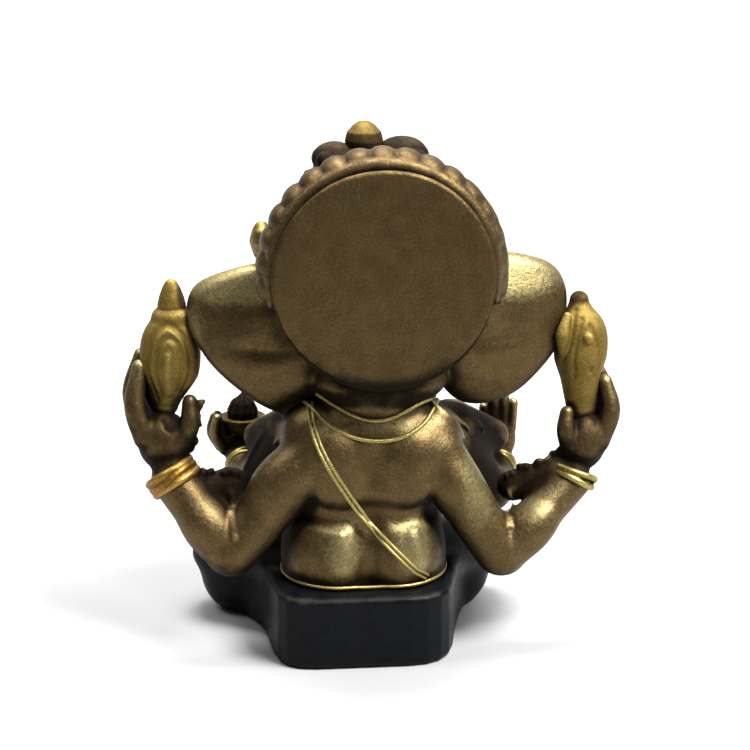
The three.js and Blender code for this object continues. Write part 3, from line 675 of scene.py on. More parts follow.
# %% Model the crown
DOME_FOOT = on_head([0.3, -3.6, 54.7])
dome_tiers = [(9.7, 54.6), (10.0, 56.2), (9.3, 58.0), (9.4, 59.0), (8.8, 60.8), (8.1, 61.9), (8.1, 63.2),
              (7.2, 64.6), (6.3, 65.3), (5.4, 65.9), (3.6, 66.2), (0, 66.2)]
body.add("crown_dome", turned([*DOME_FOOT[:2], 0], [(0, 53.6), (9.3, 53.6), *dome_tiers]), 0.5)
TIER_HEIGHTS = ((58.3, 9.55, 26), (62.3, 8.4, 22), (65.3, 6.9, 18))
for height, radius, count in TIER_HEIGHTS:
    for spot in round_spots(DOME_FOOT, radius, count, height):
        body.add("crown_dome", egg(spot, [0.85, 0.85, 1.15]), 0.35)

body.add("crown_dome", egg([5.0, -4.0, 65.3], [2.9, 3.2, 2.1]), 0.5)
body.add("crown_dome", egg([-3.9, -4.0, 65.9], [3.3, 3.2, 2.1]), 0.5)

PETAL_COUNT = 17
PETAL_ARC = (-12, 192)
RING_RADIUS = 14.2
RING_CENTRE = [PLATE_ACROSS, PLATE_HEIGHT + 0.5]


def ring_spot(degrees, radius, depth):
    """A spot on the ring: its angle, its distance from the ring's centre and how far back it lies."""
    angle = math.radians(degrees)
    return [RING_CENTRE[0] + radius * math.cos(angle), depth, RING_CENTRE[1] + radius * math.sin(angle)]


PLAIN_ARC = (134, 192)
for ends, count, outwards, depth, thickness, blend in (
    (PETAL_ARC, 15, -1.3, 7.0, 1.9, 0.3),
    (PETAL_ARC, 15, -0.3, 10.5, 1.2, 0.6),
    (PLAIN_ARC, 7, 0.6, 8.8, 1.3, 0.6),
):
    arc = [ring_spot(angle, RING_RADIUS + outwards, depth) for angle in np.linspace(*ends, count)]
    body.add("crown_petal_ring", tube(arc, [thickness, thickness]), blend)
pitch = (PETAL_ARC[1] - PETAL_ARC[0]) / PETAL_COUNT
for i in range(PETAL_COUNT):
    middle = PETAL_ARC[0] + pitch * (i + 0.5)
    petal = egg(ring_spot(middle, RING_RADIUS + 0.2, 8.4), [1.75, 2.7, 2.3], (0, -middle, 0))
    body.add("crown_petal_ring", petal, 0.25)
    body.add("crown_petal_ring", egg(ring_spot(middle, RING_RADIUS - 0.5, 4.4), [0.8, 0.8, 0.8]), 0.3)
    gap = middle - pitch / 2
    pit_mouth, pit_end = ring_spot(gap, RING_RADIUS + 2.1, 7.9), ring_spot(gap, RING_RADIUS + 0.9, 7.7)
    body.carve(limb(pit_mouth, 0.42, pit_end, 0.3), 0.2)
print("crown modelled")

# %% [markdown]
# The feet are bare and lie on the crossed shins. Each is a heel, a ball and five toes side by
# side, with the big toe thicker and further ahead.

# %% Model the feet
FEET = {
    "left_foot": ([0.2, -16.4, 9.9], [-8.0, -15.5, 11.4], 1.75, 1.5),
    "right_foot": ([4.6, -19.0, 7.6], [12.4, -19.3, 7.7], 1.7, 1.4),
}
for name, (heel, ball, heel_radius, ball_radius) in FEET.items():
    heel, ball = np.array(heel), np.array(ball)
    ahead = (ball - heel) / np.linalg.norm(ball - heel)
    body.add(name, egg(heel + ahead * 0.8, [heel_radius, 1.5, heel_radius]), 0)
    body.add(name, limb(heel, heel_radius * 0.8, ball, ball_radius * 0.8), 1.2)
    body.add(name, egg(ball, [1.7, 1.1, 2.0]), 1.2)
    for i in range(5):
        spot = ball + ahead * (2.0 - 0.16 * i * i) + np.array([0, 0.1, 1.35 - 0.72 * i])
        size = 0.72 if i == 0 else 0.48
        body.add(name, limb(spot - ahead * 1.2, size * 0.9, spot, size), 0.12)
print("body clay:", body.field.shape, "numbers in the block")

# %% [markdown]
# ## Dress and plinth in clay
#
# The wrapped dress and the plinth are one black mass from behind, with a squared back face and
# rounded corners. In front the folded legs lie on the plinth, and the pleats hang over its edge.
# All that would reach below the table is cut off at the end, so the underside is flat.

# %% Model the dress and the plinth
dress = Clay([-28, -25, -0.8], [30, 15, 18], BODY_GRAIN)
PLINTH_OUTLINE = [
    [13.8, 13.1], [15.2, 0], [20.2, -10], [22.0, -14.6], [14.4, -21.3], [8, -21.9],
    [-5, -21.9], [-10.4, -21.3], [-17.4, -14.8], [-14.2, -9], [-11.4, 0], [-8.8, 13.1],
]
PLINTH_HEIGHT, SEAT_HEIGHT, SEAT_FRONT = 5.8, 9.9, -9.5
CORNER_CUT, BACK_CORNER_CUT = 3.0, 5.2
plinth_curve = []
for i, corner in enumerate(PLINTH_OUTLINE):
    before = np.array(PLINTH_OUTLINE[i - 1], dtype=float)
    after = np.array(PLINTH_OUTLINE[(i + 1) % len(PLINTH_OUTLINE)], dtype=float)
    here = np.array(corner, dtype=float)
    cut = BACK_CORNER_CUT if here[1] > 10 else CORNER_CUT
    start = here + (before - here) * min(0.5, cut / np.linalg.norm(before - here))
    stop = here + (after - here) * min(0.5, cut / np.linalg.norm(after - here))
    for t in np.linspace(0, 1, 5):
        plinth_curve.append((1 - t) ** 2 * start + 2 * t * (1 - t) * here + t**2 * stop)
dress.add("plinth", slab(plinth_curve, 0.0, PLINTH_HEIGHT, 0.8), 0)
seat_curve = [corner for corner in plinth_curve if corner[1] > SEAT_FRONT]
dress.add("dhoti_seat", slab(seat_curve, 0.0, SEAT_HEIGHT, 0.9), 0.15)
ledge = round((PLINTH_HEIGHT - dress.low[2]) / dress.grain)
dress.owner[:, :, :ledge] = dress.names.index("plinth")
dress.add("left_thigh", egg([18.6, -9.6, 5.6], [5.4, 5.2, 6.2]), 1.8)
dress.add("right_thigh", egg([-12.8, -9.8, 5.4], [4.6, 5.0, 6.0]), 1.8)
dress.add("left_thigh", limb([9.5, -2.5, 10.0], 5.1, [21.2, -9.4, 9.6], 4.3), 1.6)
dress.add("right_thigh", limb([-6.5, -2.5, 10.0], 5.1, [-16.0, -9.8, 9.0], 4.1), 1.6)
dress.add("left_shin", limb([20.8, -11.3, 9.2], 3.9, [0.9, -16.1, 9.3], 2.6), 1.2)
dress.add("right_shin", limb([-15.6, -12.3, 8.4], 3.7, [4.2, -18.8, 7.5], 2.2), 1.2)
for i, across in enumerate((-3.4, -1.6, 0.4, 2.4, 4.2)):
    foot = across * 1.35 + 0.3
    path = [[0.3 + across * 0.6, -20.2, 6.6], [foot * 0.9, -21.6, 5.2], [foot, -21.9, 1.6]]
    dress.add("dhoti_pleats", tube(path, [0.7, 0.95, 0.9]), 0.35)
FOLDS = [
    [[14, -10.5, 13.4], [18, -13.6, 11.0], [17, -15.6, 8.4]],
    [[10, -10.0, 14.0], [13, -14.4, 11.4], [12, -16.8, 8.8]],
    [[17, -8.4, 13.6], [22, -11.6, 12.0], [23, -14.0, 8.4]],
    [[-8, -9.8, 13.4], [-12, -13.8, 11.0], [-11, -17.0, 7.6]],
    [[-12, -8.6, 12.6], [-16.4, -12.0, 11.6], [-17.0, -14.6, 8.0]],
    [[20, -3.4, 12.4], [23.6, -6.6, 11.6], [25.2, -9.6, 8.6]],
    [[-14, -4.2, 12.0], [-17.8, -7.0, 11.4], [-19.6, -10.0, 8.4]],
]
for fold in FOLDS:
    dress.press(fold, 0.8, -0.45)
dress.field = np.maximum(dress.field, -dress.axes[2].astype(np.float32)[None, None, :])
print("dress and plinth modelled")

# %% [markdown]
# ## Ornaments in finer clay
#
# Everything gold is small and crisp, so each ornament has its own block of finer clay. A bangle is
# a cord bent round the wrist; the necklaces and the sacred thread are cords laid on the skin.

# %% Make ornament blocks
ORNAMENT_GRAIN = 0.14
ornaments = {}


def ornament(node, low, high, grain=ORNAMENT_GRAIN):
    """A fresh block of fine clay for one ornament."""
    ornaments[node] = Clay(low, high, grain)
    return ornaments[node]


RING_POINTS = 16


def loop_round(centre, direction, radius, offset=0.0, wobble=0.0):
    """Points of a closed ring square to a direction."""
    direction = np.array(direction, dtype=float)
    direction /= np.linalg.norm(direction)
    side = np.cross(direction, [0, 1, 0.2])
    side /= np.linalg.norm(side)
    other = np.cross(direction, side)
    points = []
    for i in range(RING_POINTS + 1):
        angle = 2 * math.pi * i / RING_POINTS
        ring = radius * (side * math.cos(angle) + other * math.sin(angle))
        sway = offset + wobble * math.sin(2 * angle)
        points.append(np.array(centre) + ring + direction * sway)
    return points


# node: (middle, way the wrist or ankle points, radius, where each coil lies along it, thickness)
BANGLES = {
    "rear_left_bangle": ([27.2, 2.5, 23.9], [0.55, -0.24, 0.80], 3.15, (-0.85, 0.0, 0.85), 0.56),
    "rear_right_bangle": ([-27.0, 2.2, 22.3], [-0.40, -0.24, 0.88], 2.75, (-0.5, 0.5), 0.46),
    "front_left_bangle": ([17.5, -12.6, 20.2], [0.2, -0.94, 0.28], 2.5, (-0.35, 0.35), 0.36),
    "front_right_bangle": ([-18.5, -11.7, 19.4], [-0.3, -0.85, 0.35], 2.5, (-0.35, 0.35), 0.36),
    "left_anklet": ([0.8, -16.3, 9.9], [-1, 0.1, 0.2], 2.3, (-0.3, 0.3), 0.4),
    "right_anklet": ([5.0, -19.0, 7.6], [1, -0.05, 0], 2.2, (-0.3, 0.3), 0.4),
}
for node, (centre, direction, radius, offsets, thickness) in BANGLES.items():
    centre = np.array(centre)
    room = radius + 2.2
    block = ornament(node, centre - room, centre + room)
    for i, offset in enumerate(offsets):
        ring = loop_round(centre, direction, radius, offset, wobble=0.12 * (-1) ** i)
        block.add(node, tube(ring, [thickness, thickness]), 0.25)

# node: (points near the skin, thickness, how far each of two strands lies from the middle line)
CORDS = {
    "sacred_thread": (
        [[9.0, 4.0, 34.6], [9.0, 8.0, 31.6], [6.4, 9.7, 26.2], [2.6, 9.7, 20.6], [-1.8, 10.4, 14.8],
         [-6.6, 9.9, 11.0]],
        0.24, 0.30,
    ),
    "necklace_upper": (
        [[8.0, 3.6, 35.2], [4.6, 7.2, 33.6], [0.0, 8.6, 32.4], [-4.4, 7.4, 33.8], [-7.6, 3.6, 35.6],
         [-6.6, -2.6, 34.0], [0.4, -6.6, 31.0], [7.4, -2.6, 33.4], [8.0, 3.6, 35.2]],
        0.3, 0.0,
    ),
    "necklace_lower": (
        [[9.6, 3.4, 34.0], [6.2, 8.4, 31.6], [0.2, 10.0, 29.9], [-5.6, 8.6, 31.6], [-8.8, 3.4, 34.4],
         [-8.0, -4.0, 31.0], [0.8, -9.8, 26.4], [9.2, -4.0, 30.6], [9.6, 3.4, 34.0]],
        0.3, 0.0,
    ),
    "waist_band": (
        [[13.2, -1.0, 10.6], [11.6, 6.6, 10.6], [6.2, 10.2, 10.4], [1.8, 10.7, 10.2], [-3.0, 10.2, 10.4],
         [-7.4, 6.8, 10.6], [-9.2, -1.0, 10.6], [-7.4, -9.4, 11.0], [1.7, -14.0, 11.4], [10.6, -9.4, 11.0],
         [13.2, -1.0, 10.6]],
        0.3, 0.0,
    ),
}
CORD_LIFT, CORD_GRAIN, CORD_TAUT = 0.12, 0.17, 12
for node, (points, thickness, twin) in CORDS.items():
    line = laid_on(body, points, CORD_LIFT, taut=CORD_TAUT)
    block = ornament(node, line.min(0) - 2, line.max(0) + 2, CORD_GRAIN)
    if twin:
        aside = np.cross(np.gradient(line, axis=0), slope(body, line))
        aside /= np.linalg.norm(aside, axis=1, keepdims=True)
        for sign in (1, -1):
            block.add(node, tube(line + sign * twin * aside, [thickness, thickness]), 0.1)
    else:
        block.add(node, tube(line, [thickness, thickness]), 0.1)
print(len(ornaments), "ornaments so far")

# %% [markdown]
# The conch in the rear left hand is a fat spindle with a stepped spire, and its lip is drawn as
# two nested loops with a rib between them. The lotus bud in the rear right hand is a spindle too,
# closed, with petal edges that run up to its tip and one petal that stands away.

# %% Model the conch and the lotus bud
conch = ornament("conch", [21.5, -5.5, 31], [32.5, 5, 51])
conch.add("conch", egg([27.1, -0.4, 40.4], [4.0, 3.2, 5.4]), 0)
conch.add("conch", limb([27.2, -0.2, 37.6], 3.3, [27.9, 0.0, 33.3], 1.7), 1.6)
conch.add("conch", egg([26.7, -0.9, 45.2], [2.7, 2.4, 1.5]), 0.7)
SPIRE = [(0, 45.6), (1.75, 45.8), (1.9, 46.6), (1.6, 47.8), (1.2, 48.9), (0.7, 49.8), (0, 50.2)]
conch.add("conch", turned([26.75, -1.0], SPIRE), 0.2)
OUTER_LIP = [
    [29.6, 2.2, 34.2], [30.3, 1.8, 39.6], [29.4, 2.2, 43.4], [27.4, 2.4, 44.8], [25.2, 2.2, 43.2],
    [24.4, 2.0, 39.8], [25.2, 2.4, 34.8],
]
INNER_LIP = [
    [28.7, 2.6, 34.8], [29.2, 2.8, 40.0], [28.4, 2.8, 42.4], [27.2, 2.9, 43.1], [26.0, 2.8, 42.2],
    [25.5, 2.7, 39.6], [25.9, 2.7, 35.4],
]
RIB = [[27.4, 3.0, 40.6], [27.5, 3.0, 38.4], [27.4, 2.8, 35.4]]
for line, width, depth in ((OUTER_LIP, 0.40, -0.42), (INNER_LIP, 0.34, -0.34), (RIB, 0.5, 0.3)):
    conch.press(laid_on(conch, line, 0.0), width, depth)

lotus = ornament("lotus_bud", [-33, -5.5, 29], [-22.5, 5, 50])
lotus.add("lotus_bud", egg([-27.9, -0.4, 40.4], [3.6, 3.0, 5.0]), 0)
lotus.add("lotus_bud", limb([-27.7, -0.2, 38.2], 3.1, [-28.0, 0.1, 31.6], 2.0), 1.4)
lotus.add("lotus_bud", limb([-27.6, -0.8, 43.0], 2.3, [-27.6, -1.2, 46.0], 1.3), 0.8)
loose_petal = [[-25.2, 1.4, 39.6], [-24.9, 1.8, 42.0], [-25.6, 1.2, 44.4]]
lotus.add("lotus_bud", tube(loose_petal, [0.7, 1.0, 0.6]), 0.35)
lotus.add("lotus_bud", egg([-28.3, 2.5, 41.6], [0.75, 0.6, 0.85]), 0.2)
for edge in (
    [[-26.6, 2.2, 36.6], [-26.4, 2.8, 40.2], [-27.4, 2.0, 44.2]],
    [[-29.6, 2.2, 36.0], [-29.7, 2.4, 39.6], [-28.6, 2.0, 43.2]],
    [[-25.0, 1.2, 37.4], [-26.2, 1.9, 41.6], [-26.6, 1.0, 45.4]],
):
    lotus.press(laid_on(lotus, edge, 0.0), 0.3, -0.2)
lotus_nick = [[-28.7, 2.4, 37.5], [-28.7, 2.4, 37.1]]
lotus.press(laid_on(lotus, lotus_nick, 0.0), 0.3, -0.6)
print("conch and lotus bud modelled")

# %% [markdown]
# The front left hand holds a shallow bowl. Its wall is turned, and its rolled rim is a cord bent
# into a ring.

# %% Model the bowl
BOWL_MIDDLE = [17.6, -15.8]
bowl = ornament("modak_bowl", [13.5, -20.0, 23], [21.8, -11.6, 27.5])
bowl_wall = turned(BOWL_MIDDLE, [(0, 24.0), (1.6, 24.0), (2.8, 25.0), (3.3, 26.4), (0, 26.4)])
bowl.add("modak_bowl", bowl_wall, 0)
bowl.add("modak_bowl", tube(loop_round([*BOWL_MIDDLE, 26.2], [0, 0, 1], 3.0), [0.34, 0.34]), 0.2)
print("bowl modelled")

# %% [markdown]
# The crown wears the rest of the gold: a blunt finial on top, a beaded band at the brow with a
# jewel in front, and a round boss over each ear.

# %% Model the crown's ornaments
finial = ornament("crown_finial", [-3, -9, 64.4], [5, 0, 70.6])
FINIAL_FOOT = on_head([0.8, -4.4, 66])[:2]
FINIAL_PROFILE = [
    (0, 65.2), (1.7, 65.4), (2.3, 66.3), (2.55, 67.4), (2.25, 68.6), (1.4, 69.5), (0.7, 69.95), (0, 70.05),
]
finial.add("crown_finial", turned(FINIAL_FOOT, FINIAL_PROFILE), 0)
finial.add("crown_finial", tube(loop_round([*FINIAL_FOOT, 66.2], [0, 0, 1], 2.0), [0.45, 0.45]), 0.2)

for node, side in (("left_crown_boss", 1), ("right_crown_boss", -1)):
    middle = np.array(on_head([side * 15.0, -0.4, 55.6]))
    block = ornament(node, middle - 4, middle + 4)
    block.add(node, egg(middle, [1.5, 2.4, 2.6]), 0)
    block.add(node, egg(middle + [side * 0.7, 0, 0], [0.9, 1.0, 1.0]), 0.2)
    for angle in np.linspace(0, 2 * math.pi, 9, endpoint=False):
        bead = middle + [0, 1.9 * math.cos(angle), 1.9 * math.sin(angle)]
        block.add(node, egg(bead, [0.7, 0.6, 0.6]), 0.5)

jewel_spot = np.array(on_head([0, -12.9, 55.4]))
jewel = ornament("crown_front_jewel", jewel_spot + [-5, -3, -6], jewel_spot + [5, 3.5, 9])
jewel.add("crown_front_jewel", egg(jewel_spot, [2.9, 1.2, 3.7]), 0)
jewel.add("crown_front_jewel", egg(jewel_spot + [0, -0.7, 0], [1.5, 0.9, 2.1]), 0.15)
jewel.add("crown_front_jewel", egg(jewel_spot + [0, 0.6, 4.8], [1.5, 1.1, 2.0]), 0.3)
for angle in np.linspace(0, 2 * math.pi, 14, endpoint=False):
    spot = jewel_spot + [2.7 * math.cos(angle), -0.2, 3.5 * math.sin(angle)]
    jewel.add("crown_front_jewel", egg(spot, [0.55, 0.6, 0.55]), 0.15)

band_middle = np.array(on_head([0, -2.6, 52.4]))
band = ornament("crown_band", band_middle + [-12.5, -12.5, -2.6], band_middle + [12.5, 12.5, 2.8], 0.18)
BAND_PROFILE = [
    (8.6, 50.7), (10.4, 50.8), (10.7, 51.3), (10.45, 52.4), (10.7, 53.5), (10.4, 54.1), (8.6, 54.2),
]
band.add("crown_band", turned(band_middle[:2], BAND_PROFILE), 0)
for spot in round_spots(band_middle, 10.5, 44, 52.4):
    band.add("crown_band", egg(spot, [0.62, 0.62, 0.62]), 0.15)
print("crown ornaments modelled")

# %% [markdown]
# In the bowl lies a *modak*, the steamed dumpling with pinched pleats that this deity is fond of.
# The pleats are grooves pressed into a turned drop.

# %% Model the sweet
modak = ornament("modak", [14.4, -19.0, 26.0], [20.8, -12.6, 31.0])
dumpling = turned(BOWL_MIDDLE, [(0, 26.2), (2.1, 26.3), (2.3, 27.3), (1.7, 28.6), (0.7, 29.8), (0, 30.3)])
modak.add("modak", dumpling, 0)
PLEATS = 10
pleat_feet = round_spots(BOWL_MIDDLE, 2.35, PLEATS, 27.0)
pleat_tops = round_spots(BOWL_MIDDLE, 0.5, PLEATS, 29.9)
for foot, top in zip(pleat_feet, pleat_tops):
    modak.press([foot, top], 0.28, -0.3)
print(len(ornaments), "ornaments modelled")

# %% [markdown]
# ## From clay to skin
#
# OpenVDB finds the surface where the distance is zero. Its points are then slid onto the exact
# surface along the slope, and the slope there becomes the mesh's normal, so the shading is as
# smooth as the clay although the faces are small flat squares.

# %% Make the skin
def skin(clay):
    """Points, squares and normals of the clay's surface, in millimetres."""
    grid = openvdb.FloatGrid(FAR)
    grid.copyFromArray(clay.field)
    points, squares = grid.convertToQuads(0.0)
    points = points.astype(np.float64) * clay.grain + clay.low
    for _ in range(2):
        points -= (read(clay, points) * 0.8)[:, None] * slope(clay, points)
    return points, squares.astype(np.int64), slope(clay, points)


# %% [markdown]
# ## Where the dark wash and the painted shade lie
#
# The painter floods the casting with a thin dark wash, which stays in hollows, and then drags
# gold over it with a nearly dry brush, which catches only what stands up. Two numbers are worked
# out at each point of the skin: `wash_and_shade`, how closed in the point is, and
# `raised_and_highlight`, how sharply the skin bends outwards there. The paint reads both. Where a
# point is closed in over longer reaches, the darkening is painted shade, on top of the wash in the
# narrow hollows. Undersides are painted darker, as painted shade, and tops lighter, as a painted
# highlight. A table of pools adds more darkness, partly wash that ran together and partly painted
# shade, as at the nape under the plate; where a pool is negative it paints a highlight.

# %% Measure hollows and edges
OPEN_REACHES = ((0.4, 0.7), (0.9, 0.9), (1.8, 1.0), (3.2, 1.0), (5.0, 0.9), (7.5, 0.7))
BEND_REACH = 0.7
# Undersides are painted darker as painted shade, and tops lighter as a painted highlight.
UNDERSIDE_SHADE, TOP_HIGHLIGHT = 0.48, 0.14


def all_distances(points, own=None):
    """Distance to whatever is nearest: body, dress, plate or the ornament itself."""
    nearest = np.minimum(read(body, points), read(dress, points))
    nearest = np.minimum(nearest, plate_distance(points))
    if own is not None:
        nearest = np.minimum(nearest, read(own, points))
    return nearest


# (middle, size, strength): a positive strength darkens, partly as wash that ran together and partly as
# painted shade, such as at the nape under the plate; a negative one is a painted highlight.
WASH_AND_LIGHT_POOLS = (
    ([0.0, 7.5, 35.8], [9.5, 4.5, 2.8], 0.28),
    ([-14.5, -5.0, 25.0], [4.5, 6.0, 5.5], 0.55),
    ([13.5, -5.0, 26.0], [4.5, 6.0, 5.0], 0.60),
    ([1.8, 6.0, 10.5], [16.0, 6.0, 2.2], 0.25),
    ([0.0, 0.0, 62.0], [18.0, 13.0, 10.5], 0.60),
    ([21.0, 0.8, 22.6], [4.6, 4.4, 3.2], 0.60),
    ([-20.6, 0.8, 22.6], [4.6, 4.4, 2.6], 0.65),
    ([26.8, -1.0, 48.4], [3.0, 3.0, 2.4], 0.40),
    ([29.0, 0.5, 29.0], [6.0, 6.0, 8.0], 0.36),
    ([-29.0, 0.5, 28.0], [6.0, 6.0, 7.5], 0.36),
    ([17.6, -15.8, 26.4], [4.6, 4.6, 4.0], 0.90),
    ([-27.6, -1.0, 46.8], [2.6, 2.6, 1.7], 0.75),
    ([20.5, 6.0, 12.0], [5.0, 5.0, 3.6], 0.20),
    ([17.0, 2.0, 50.0], [9.0, 7.0, 2.8], -0.50),
    ([-17.0, 2.0, 50.0], [9.0, 7.0, 3.0], -0.42),
    ([23.4, 0.0, 44.6], [2.2, 4.0, 2.4], -0.40),
    ([-4.6, 10.0, 15.0], [2.8, 4.0, 4.6], -0.45),
    ([5.0, 10.0, 15.0], [2.8, 4.0, 4.6], -0.30),
    ([-12.8, 7.0, 23.5], [2.4, 5.0, 7.0], -0.35),
    ([-21.6, 4.0, 19.6], [4.6, 4.0, 3.4], -0.20),
    ([0.0, 8.5, 32.6], [9.0, 4.0, 1.8], -0.30),
    ([0.0, -4.0, 69.0], [4.0, 4.0, 3.0], 0.16),
    ([0.5, -3.0, 65.4], [8.5, 4.5, 2.6], -0.10),
)


def pool_wash_and_light(points):
    """Extra darkness from each pool, partly pooled wash and partly painted shade, or a painted highlight
    where the pool is negative, fading out at its edge.
    """
    extra = np.zeros(len(points))
    for middle, size, strength in WASH_AND_LIGHT_POOLS:
        extra += strength * np.exp(-((((points - middle) / size) ** 2).sum(axis=1) ** 2))
    return extra


def measure_skin(points, normals, own=None, with_pools=True):
    """The wash-and-shade and raised-and-highlight numbers at points of the skin, whose normals are given."""
    closed = np.zeros(len(points))
    # How closed in a point is: over short reaches this is where the wash stays, over longer ones it is
    # painted shade.
    for reach, weight in OPEN_REACHES:
        room = all_distances(points + normals * reach, own) / reach
        closed += weight * (1 - np.clip(room, 0, 1))
    closed /= sum(weight for _, weight in OPEN_REACHES)
    pool_amount = pool_wash_and_light(points) if with_pools else 0.0
    # Painted shade: the pools and the undersides darken the colour, on top of the wash.
    closed += pool_amount + UNDERSIDE_SHADE * np.clip(-normals[:, 2], 0, 1)
    bend = np.zeros(len(points))
    for i in range(3):
        for sign in (1, -1):
            shift = np.zeros(3)
            shift[i] = sign * BEND_REACH
            around = points + shift
            bend += (all_distances(around) if own is None else read(own, around)) / 6
    # Painted highlight: tops, and negative pools, lighten the colour; the bend is where the dry brush catches
    # edges.
    top_highlight = TOP_HIGHLIGHT * np.clip(normals[:, 2], 0, 1)
    return closed, bend / BEND_REACH + top_highlight - 0.5 * pool_amount


# %% [markdown]
# ## Dividing the skin into named pieces
#
# The paint runs over the borders between pieces without a break, so they are divided after the
# skin is made: each square goes to the piece whose clay it came from, and keeps the normals of
# the undivided skin. Each piece's open edge is then closed with a fan of faces to a point deep
# inside the casting; fan faces that would come out of the clay, where they could be seen, are left out.

# %% Make mesh pieces
def add_numbers(mesh, wash_and_shade, raised_and_highlight):
    """Stores the two painting numbers at the mesh's points, under the names the paint reads."""
    for key, values in (("wash_and_shade", wash_and_shade), ("raised_and_highlight", raised_and_highlight)):
        layer = mesh.attributes.new(key, "FLOAT", "POINT")
        layer.data.foreach_set("value", np.asarray(values, dtype=np.float32))


def make_mesh(name, points, faces, normals, wash_and_shade, raised_and_highlight):
    """A smooth Blender object from the clay's points, in the frame's metres."""
    mesh = bpy.data.meshes.new(name)
    mesh.from_pydata(to_frame(points).tolist(), [], faces)
    mesh.update()
    add_numbers(mesh, wash_and_shade, raised_and_highlight)
    mesh.polygons.foreach_set("use_smooth", np.ones(len(mesh.polygons), dtype=bool))
    mesh.normals_split_custom_set_from_vertices(normals.tolist())
    piece = bpy.data.objects.new(name, mesh)
    bpy.context.scene.collection.objects.link(piece)
    return piece


SINK_STEPS, SINK_STEP = 12, 0.3


def closing_fans(squares, points, out_of):
    """Faces that close the open edges, and the deep points that they meet at."""
    edges = np.concatenate([squares[:, [i, (i + 1) % 4]] for i in range(4)])
    key = edges[:, 0] * len(points) + edges[:, 1]
    back = edges[:, 1] * len(points) + edges[:, 0]
    loose = edges[~np.isin(key, back)]
    if not len(loose):
        return [], np.zeros((0, 3))
    group = {int(v): int(v) for v in np.unique(loose)}

    def root(v):
        while group[v] != v:
            group[v] = group[group[v]]
            v = group[v]
        return v

    for a, b in loose.tolist():
        group[root(a)] = root(b)
    rings = {}
    for a, b in loose.tolist():
        rings.setdefault(root(a), []).append((a, b))
    fans, deep = [], []
    for ring in rings.values():
        middle = points[[a for a, _ in ring]].mean(0, keepdims=True)
        for _ in range(SINK_STEPS):
            middle = middle - SINK_STEP * out_of(middle)
        apex = len(points) + len(deep)
        deep.append(middle[0])
        fans += [[b, a, apex] for a, b in ring]
    return fans, np.array(deep)


def buried(clay, triangles):
    """Which triangles stay inside the clay, all the way from their edge to their deep point."""
    inside = np.ones(len(triangles), dtype=bool)
    start = triangles[:, :2].mean(axis=1)
    for share in np.linspace(0.08, 0.92, 12):  # steps from the edge to the deep point
        inside &= read(clay, start + (triangles[:, 2] - start) * share) < 0.0
    return inside


def divide(clay):
    """Divides a clay's skin into its named pieces."""
    points, squares, normals = skin(clay)
    wash_and_shade, raised_and_highlight = measure_skin(points, normals)
    middles = points[squares].mean(axis=1)
    spot = np.round((middles - clay.low) / clay.grain).astype(int)
    spot = np.clip(spot, 0, np.array(clay.field.shape) - 1)
    owner = clay.owner[spot[:, 0], spot[:, 1], spot[:, 2]]
    made = {}
    for index, name in enumerate(clay.names):
        mine = squares[owner == index]
        used, local = np.unique(mine, return_inverse=True)
        local = local.reshape(mine.shape)
        here = points[used]
        fans, deep = closing_fans(local, here, lambda p: slope(clay, p))
        count = len(deep)
        every = np.vstack([here, deep])
        if fans:
            fans = np.array(fans)[buried(clay, every[np.array(fans)])].tolist()
        made[name] = make_mesh(
            name + "_cast",
            every,
            local.tolist() + fans,
            np.vstack([normals[used], np.tile([0.0, 0.0, 1.0], (count, 1))]),
            np.concatenate([wash_and_shade[used], np.ones(count)]),
            np.concatenate([raised_and_highlight[used], np.zeros(count)]),
        )
        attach(made[name], "root")
        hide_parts(name)
        print(f"{name}: {len(mine)} squares")
    return made


bronze_pieces = divide(body)
black_pieces = divide(dress)

# %% [markdown]
# An ornament is a block of its own, so its whole skin is one closed piece and needs no dividing.
# Its hollows are measured against the body too, which is why wash and painted shade gather beside each cord.

# %% Make the ornament pieces
gold_pieces = {}
for node, block in ornaments.items():
    points, squares, normals = skin(block)
    wash_and_shade, raised_and_highlight = measure_skin(points, normals, own=block)
    piece = make_mesh(node + "_cast", points, squares.tolist(), normals, wash_and_shade, raised_and_highlight)
    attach(piece, "root")
    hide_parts(node)
    gold_pieces[node] = piece
print("ornament squares:", sum(len(p.data.polygons) for p in gold_pieces.values()))

# %% [markdown]
# ## The flat plate
#
# The plate is the one crisp form: a disc with a flat back and a narrow bevel that catches the
# light. It is spun from a profile, with its edge and its back moved a little by slow waves, as on
# a casting that was sanded flat by hand. It is painted darker low down, towards the neck, and on
# its lower rim, as painted shade; its whole rim is a little darker, painted shade that dims the
# bevel's highlight, and its upper rim gets a painted highlight.

# %% Spin the plate
PLATE_TURNS = 160
PLATE_PROFILE = [
    *((radius, PLATE_BACK) for radius in (3.0, 6.0, 9.0, 12.0, 13.6)),
    (13.84, 12.16), (14.02, 12.06), (14.14, 11.9), (14.2, 11.66), (14.22, 11.3),
    (14.22, 10.6), (14.1, 10.2), (13.8, 10.02), (9.0, PLATE_FRONT),
]
FLAT_FROM = 12.0  # only what lies further back than this gets the sanding waves
plate_points, plate_faces = [[PLATE_ACROSS, PLATE_BACK, PLATE_HEIGHT]], []
for i in range(PLATE_TURNS):
    angle = 2 * math.pi * i / PLATE_TURNS
    wave = 1 + 0.004 * math.sin(3 * angle + 0.8) + 0.0025 * math.sin(7 * angle)
    for radius, back in PLATE_PROFILE:
        swell = 0.03 * math.sin(radius * 0.5 + 2 * angle) if back > FLAT_FROM else 0.0
        across = PLATE_ACROSS + radius * wave * math.cos(angle)
        plate_points.append([across, back - abs(swell), PLATE_HEIGHT + radius * wave * math.sin(angle)])
plate_points.append([PLATE_ACROSS, PLATE_FRONT, PLATE_HEIGHT])
ROUND = len(PLATE_PROFILE)
